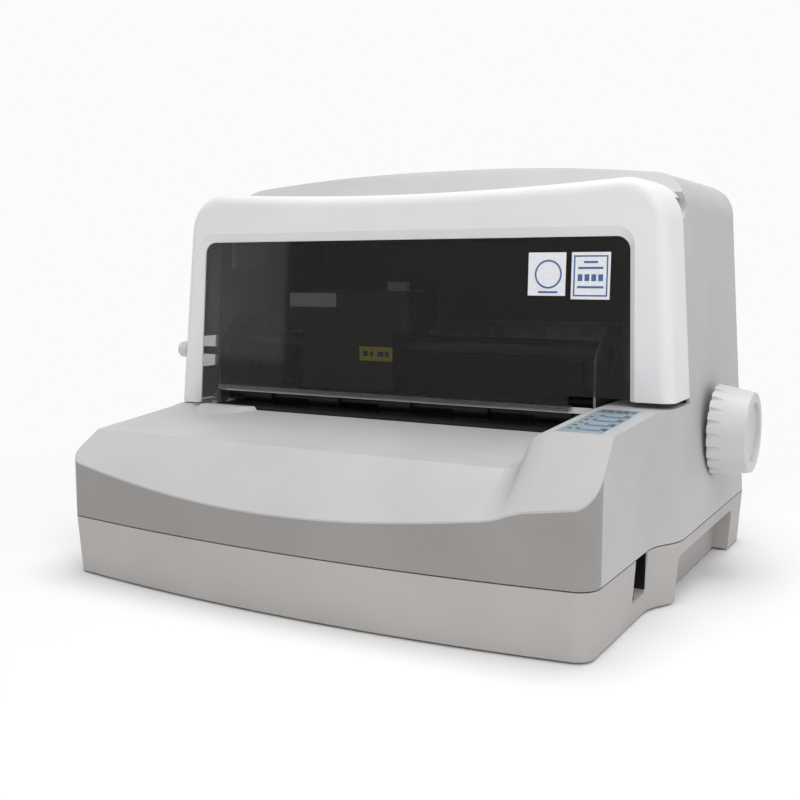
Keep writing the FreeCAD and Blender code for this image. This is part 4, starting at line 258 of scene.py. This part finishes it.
SOLDER_MASK = coated("green_solder_mask", "#0f4a28", "#175a33", 0.3, 5.0, 0.5)
LENS_ACRYLIC = coated("green_tinted_acrylic", "#2f7d45", "#3b8f52", 0.12, 3.0, 1.0)
INK_BLUE = coated("blue_printing_ink", "#3d5f95", "#4b6da3", 0.45, 1.5, 0.2)
INK_DARK = coated("dark_printing_ink", "#3a4650", "#47535d", 0.45, 1.5, 0.2)
PANE_PC = smoked_pane("smoked_polycarbonate")

FINISHES = {
    COVER_ABS: ["front_cover"],
    CASE_ABS: ["upper_case"],
    CASING_ABS: ["lower_case"],
    BAND_ABS_AND_PAINTED_SHADE: ["front_band"],
    KNOB_ABS: ["feed_knob", "lever_knob", "ribbon_knob"],
    BLACK_ABS: ["paper_guide", "carriage", "rear_pinch_rollers", "front_pinch_rollers",
                "board_chips"],
    RIBBON_CASE_PS: ["ribbon_cartridge"],
    SWITCH_PA: ["switch_body", "power_rocker", "mains_inlet", "interface_ports"],
    KEY_ABS: ["panel_button_1", "panel_button_2", "panel_button_3", "panel_button_4"],
    GEAR_POM: ["feed_bushes", "rear_feed_gear", "front_feed_gear", "idler_gear"],
    MOTOR_PAINT: ["feed_motor", "belt_motor"],
    FRAME_STEEL: ["base_plate", "left_side_frame", "right_side_frame", "rear_tie_bar",
                  "belt_brackets", "gap_lever", "supply_tray"],
    BED_ENAMEL: ["print_bed"],
    STRIP_STEEL: ["guide_strip"],
    SHAFT_STEEL: ["cover_hinge_pins", "frame_studs", "rear_feed_shaft", "front_feed_shaft"],
    RAIL_STEEL: ["carriage_shaft"],
    SCREW_STEEL: ["case_screws"],
    HEAD_ALUMINIUM: ["print_head"],
    PULLEY_ALUMINIUM: ["motor_pulley", "idler_pulley", "motor_pinion"],
    CORE_IRON: ["transformer"],
    ROLLER_RUBBER: ["bed_rubber", "rear_feed_rollers", "front_feed_rollers"],
    FOOT_RUBBER: ["rubber_feet"],
    BELT_RUBBER: ["timing_belt"],
    PANEL_PET: ["panel_film"],
    LABEL_PAPER: ["window_stickers"],
    YELLOW_PAPER: ["carriage_label"],
    PLATE_FILM: ["name_plate"],
    SOLDER_MASK: ["panel_board", "main_board"],
    LENS_ACRYLIC: ["indicator_lenses"],
    PANE_PC: ["cover_window"],
}
for finish, names in FINISHES.items():
    for name in names:
        for slot in NODES[name].material_slots:
            slot.material = finish


def add_mesh(name, shape, finish):
    """Turns a bmesh into an object at the origin with one finish."""
    mesh = bpy.data.meshes.new(name)
    shape.normal_update()
    shape.to_mesh(mesh)
    shape.free()
    mesh.materials.append(finish)
    thing = bpy.data.objects.new(name, mesh)
    bpy.context.scene.collection.objects.link(thing)
    return thing


def make_piece(name, shape, finish, body):
    """Turns a bmesh into a piece that rides on a body."""
    piece = add_mesh(name, shape, finish)
    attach(piece, body)


def add_plate(shape, x, y, z):
    """Adds a box by its three spans in millimetres."""
    spans = (x, y, z)
    size = [abs(span[1] - span[0]) * MM for span in spans]
    middle = [(span[0] + span[1]) / 2 * MM for span in spans]
    place = Matrix.Translation(middle) @ Matrix.Diagonal(size + [1.0])
    bmesh.ops.create_cube(shape, size=1.0, matrix=place)


def add_rim(shape, x, y, z, rim):
    """Adds a frame round two spans in X and Z: the long bars, then the upright ones."""
    for ends in ((z[0], z[0] + rim), (z[1] - rim, z[1])):
        add_plate(shape, x, y, ends)
    for ends in ((x[0], x[0] + rim), (x[1] - rim, x[1])):
        add_plate(shape, ends, y, (z[0] + rim, z[1] - rim))


def add_ring(shape, x, y, z, radius, width, thickness):
    """Adds a flat ring in the X and Z plane."""
    segments = 48
    place = Matrix.Translation((x * MM, y * MM, z * MM)) @ Matrix.Rotation(math.pi / 2, 4, "X")
    for r in (radius, radius - width):
        bmesh.ops.create_circle(shape, segments=segments, radius=r * MM, matrix=place)
    made = bmesh.ops.bridge_loops(shape, edges=[e for e in shape.edges if not e.link_faces])
    risen = bmesh.ops.extrude_face_region(shape, geom=made["faces"])
    verts = [item for item in risen["geom"] if isinstance(item, bmesh.types.BMVert)]
    bmesh.ops.translate(shape, verts=verts, vec=(0, -thickness * MM, 0))
    bmesh.ops.recalc_face_normals(shape, faces=shape.faces)


def shear(shape, moved, along, slope, start):
    """Moves a shape in one axis by a slope along another, from a start in millimetres."""
    change = Matrix.Identity(4)
    change[moved][along] = slope
    change[moved][3] = -slope * start * MM
    bmesh.ops.transform(shape, matrix=change, verts=shape.verts)


def sticker_print():
    """Plain print on the two window stickers: a ring on one, a frame with bars on the other."""
    low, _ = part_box("window_stickers")
    y = (low[Y] / MM - PRINT, low[Y] / MM)

    ring = bmesh.new()
    middle, height, radius, line = 96.5, 200.2, 9.0, 1.1
    bar_half, bar = 6.5, (188.4, 189.6)
    add_ring(ring, middle, y[1], height, radius, line, PRINT)
    add_plate(ring, (middle - bar_half, middle + bar_half), y, bar)
    shear(ring, Y, Z, PANE_LEAN, STICKER_FOOT)
    make_piece("sticker_ring_print", ring, INK_BLUE, "front_cover")

    sheet = bmesh.new()
    middle, rim, bar_height = 124.2, 0.9, 1.3
    # Foot and half length of each bar, and the row of blocks between them
    bars = ((207.0, 4.5), (203.4, 8.0), (191.6, 8.5))
    blocks, first, block, pitch, row = 4, 116.0, 3.0, 4.4, (196.0, 200.2)
    add_rim(sheet, (113.2, 135.2), y, (186.6, 211.8), rim)
    for foot, half in bars:
        add_plate(sheet, (middle - half, middle + half), y, (foot, foot + bar_height))
    for i in range(blocks):
        x = first + i * pitch
        add_plate(sheet, (x, x + block), y, row)
    shear(sheet, Y, Z, PANE_LEAN, STICKER_FOOT)
    make_piece("sticker_frame_print", sheet, INK_BLUE, "front_cover")


def panel_print():
    """Plain marks beside the keys and lamps of the control panel."""
    shape = bmesh.new()
    low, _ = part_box("panel_film")
    film = 0.62
    y0, z0 = low[Y] / MM, low[Z] / MM + film
    z = (z0, z0 + PRINT)
    # Marks by their spans in X and in Y: beside each key, and at the rear end of the film
    keys, first_key, key_pitch = 4, 12.0, 14.0
    key_marks = (((147.2, 149.2), (-2.0, -1.0)), ((146.8, 149.2), (0.6, 1.6)),
                 ((162.2, 164.0), (-3.2, 3.2)), ((151.5, 160.0), (5.7, 6.7)))
    rule, rules = (141.0, 163.6), ((65.0, 66.2), (72.6, 73.4))
    blocks, first, block, pitch, row = 5, 142.0, 3.0, 4.6, (68.0, 70.6)
    for i in range(keys):
        y = y0 + first_key + i * key_pitch
        for x, span in key_marks:
            add_plate(shape, x, (y + span[0], y + span[1]), z)
    for span in rules:
        add_plate(shape, rule, (y0 + span[0], y0 + span[1]), z)
    for i in range(blocks):
        x = first + i * pitch
        add_plate(shape, (x, x + block), (y0 + row[0], y0 + row[1]), z)
    shear(shape, Z, Y, PANEL_SLOPE, y0)
    make_piece("panel_print", shape, INK_DARK, "printer")


def label_print():
    """Plain bars on the yellow label of the carriage."""
    shape = bmesh.new()
    low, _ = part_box("carriage_label")
    y = (low[Y] / MM - PRINT, low[Y] / MM)
    x0, z0 = low[X] / MM, low[Z] / MM
    first, pitch, row = 3.0, 6.0, (3.2, 6.8)
    for i, width in enumerate((4.0, 2.4, 4.8, 3.2)):
        x = x0 + first + i * pitch
        add_plate(shape, (x, x + width), y, (z0 + row[0], z0 + row[1]))
    make_piece("label_print", shape, INK_DARK, "print_carriage")


def plate_rim():
    """Raised rim round the bare name plate."""
    shape = bmesh.new()
    low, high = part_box("name_plate")
    rise, rim = 0.25, 0.8
    x, z = (low[X] / MM, high[X] / MM), (low[Z] / MM, high[Z] / MM)
    add_rim(shape, x, (low[Y] / MM - rise, low[Y] / MM), z, rim)
    make_piece("name_plate_rim", shape, PLATE_FILM, "print_carriage")


def bay_painted_shade_sheet():
    """Black sheet that lines the bay behind and over the mechanism, as painted shade inside the
    cover.
    """
    shape = bmesh.new()
    # The upper sheet and the flanges start behind the arms of the cover's hinge
    left, right, front, back, foot, top, sheet = -170.6, 127.0, 44.0, 126.0, 112.6, 226.0, 1.2
    frame_top = 168.6
    add_plate(shape, (left, right), (back, back + sheet), (foot, top))
    add_plate(shape, (left, right), (front, back), (top - sheet, top))
    for flange in ((left, left + sheet), (right - sheet, right)):
        add_plate(shape, flange, (front, back), (frame_top, top - sheet))
    make_piece("bay_painted_shade_sheet", shape, BLACK_ABS, "printer")


def paper_lead_in():
    """Black upper sheet that leads paper from the rear slot down to the rollers."""
    shape = bmesh.new()
    left, right, front, back, foot, rise, sheet = -169.4, 125.8, 92.0, 125.8, 105.6, 7.4, 1.2
    add_plate(shape, (left, right), (front, back), (foot, foot + sheet))
    shear(shape, Z, Y, rise / (back - front), front)
    make_piece("paper_lead_in", shape, BLACK_ABS, "printer")


def switch_pocket_painted_shade():
    """Black sheet on the back and the jambs of the rocker switch's pocket, as painted shade in
    the recess.
    """
    shape = bmesh.new()
    low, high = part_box("switch_body")
    flange, sheet, gap, margin = 1.5, 0.5, 0.05, 2.4
    ledge, top, jamb = 16.4, 38.8, 172.6
    back = high[X] / MM - flange
    x = (back, back + sheet)
    y0, y1 = low[Y] / MM - margin, high[Y] / MM + margin
    beside = (low[Y] / MM - gap, high[Y] / MM + gap)
    for y in ((y0, y0 + sheet), (y1 - sheet, y1)):
        add_plate(shape, (back, jamb), y, (ledge, top))
    for y in ((y0 + sheet, beside[0]), (beside[1], y1 - sheet)):
        add_plate(shape, x, y, (ledge, top))
    for z in ((ledge, low[Z] / MM - gap), (high[Z] / MM + gap, top)):
        add_plate(shape, x, beside, z)
    make_piece("switch_pocket_painted_shade", shape, SWITCH_PA, "printer")


sticker_print()
panel_print()
label_print()
plate_rim()
bay_painted_shade_sheet()
paper_lead_in()
switch_pocket_painted_shade()


def floor_paper():
    """White paper that takes the printer's shadow, and is evenly white to the eye further off."""
    material, tree, shader, place = start_material(
        "white_studio_paper", Roughness=0.9, Base_Color=linear("#f7f7f7"))
    away = add_node(tree, "ShaderNodeVectorMath", {"operation": "LENGTH"}, {"Vector": place})
    fade = add_node(tree, "ShaderNodeMapRange", {"From Min": FADE_START, "From Max": FADE_END},
                    {"Value": away.outputs["Value"]})
    path = add_node(tree, "ShaderNodeLightPath")
    share = add_math(tree, "MULTIPLY", fade.outputs["Result"], path.outputs["Is Camera Ray"])
    white = {"Color": linear(BACKDROP_WHITE), "Strength": 1.0}
    glow = add_node(tree, "ShaderNodeEmission", white)
    surface = mix_shaders(tree, share, shader.outputs[0], glow.outputs[0])
    tree.links.new(surface, tree.nodes["Material Output"].inputs["Surface"])
    return material


def studio_floor():
    """Pale paper floor that the printer stands on."""
    shape = bmesh.new()
    bmesh.ops.create_grid(shape, x_segments=2, y_segments=2, size=FLOOR_HALF)
    floor = add_mesh("studio_floor", shape, floor_paper())


def painted_reflection_card():
    """Dark card that only the gloss of the pane sees: its grey is a painted reflection on the
    glass.
    """
    shape = bmesh.new()
    add_plate(shape, *CARD_SPANS)
    paint = start_material("painted_reflection_grey", Roughness=0.9, Base_Color=linear("#aeaaa2"))[0]
    card = add_mesh("painted_reflection_card", shape, paint)
    card.visible_camera = False
    card.visible_diffuse = False
    card.visible_shadow = False
    card.visible_transmission = False


def studio_world():
    """White surroundings for the eye and the gloss, and a plain level of light."""
    world = bpy.data.worlds.new("studio")
    world.use_nodes = True
    bpy.context.scene.world = world
    tree = world.node_tree
    tree.nodes.clear()
    path = add_node(tree, "ShaderNodeLightPath")
    seen = path.outputs["Is Camera Ray"]
    for ray in ("Is Glossy Ray", "Is Transmission Ray"):
        seen = add_math(tree, "MAXIMUM", seen, path.outputs[ray])
    level = {"Color": linear("#ffffff"), "Strength": WORLD_LIGHT}
    lit = add_node(tree, "ShaderNodeBackground", level)
    plain = {"Color": linear(BACKDROP_WHITE), "Strength": 1.0}
    white = add_node(tree, "ShaderNodeBackground", plain)
    surface = mix_shaders(tree, seen, lit.outputs[0], white.outputs[0])
    add_node(tree, "ShaderNodeOutputWorld", links={"Surface": surface})


def soft_box(name, place, aim, width, power):
    """A large soft lamp that points at a place."""
    lamp = bpy.data.lights.new(name, "AREA")
    lamp.shape = "DISK"
    lamp.size = width
    lamp.energy = power
    holder = bpy.data.objects.new(name, lamp)
    bpy.context.scene.collection.objects.link(holder)
    holder.location = place
    holder.rotation_euler = (Vector(aim) - Vector(place)).to_track_quat("-Z", "Y").to_euler()


def photo_camera():
    """Camera at the photograph's place and angle."""
    settings = bpy.data.cameras.new("photo_camera")
    settings.lens = CAMERA_LENS
    settings.sensor_width = PICTURE_WIDTH
    settings.clip_start = CAMERA_NEAR * MM
    camera = bpy.data.objects.new("photo_camera", settings)
    bpy.context.scene.collection.objects.link(camera)
    forward = Vector(CAMERA_FORWARD)
    right = forward.cross(Vector(CAMERA_UP)).normalized()
    up = right.cross(forward).normalized()
    turn = Matrix((right, up, -forward)).transposed().to_4x4()
    camera.matrix_world = Matrix.Translation(CAMERA_PLACE) @ turn
    bpy.context.scene.camera = camera


studio_world()
studio_floor()
painted_reflection_card()
for lamp in LAMPS:
    soft_box(*lamp)
photo_camera()
bpy.context.scene.view_settings.view_transform = "Standard"
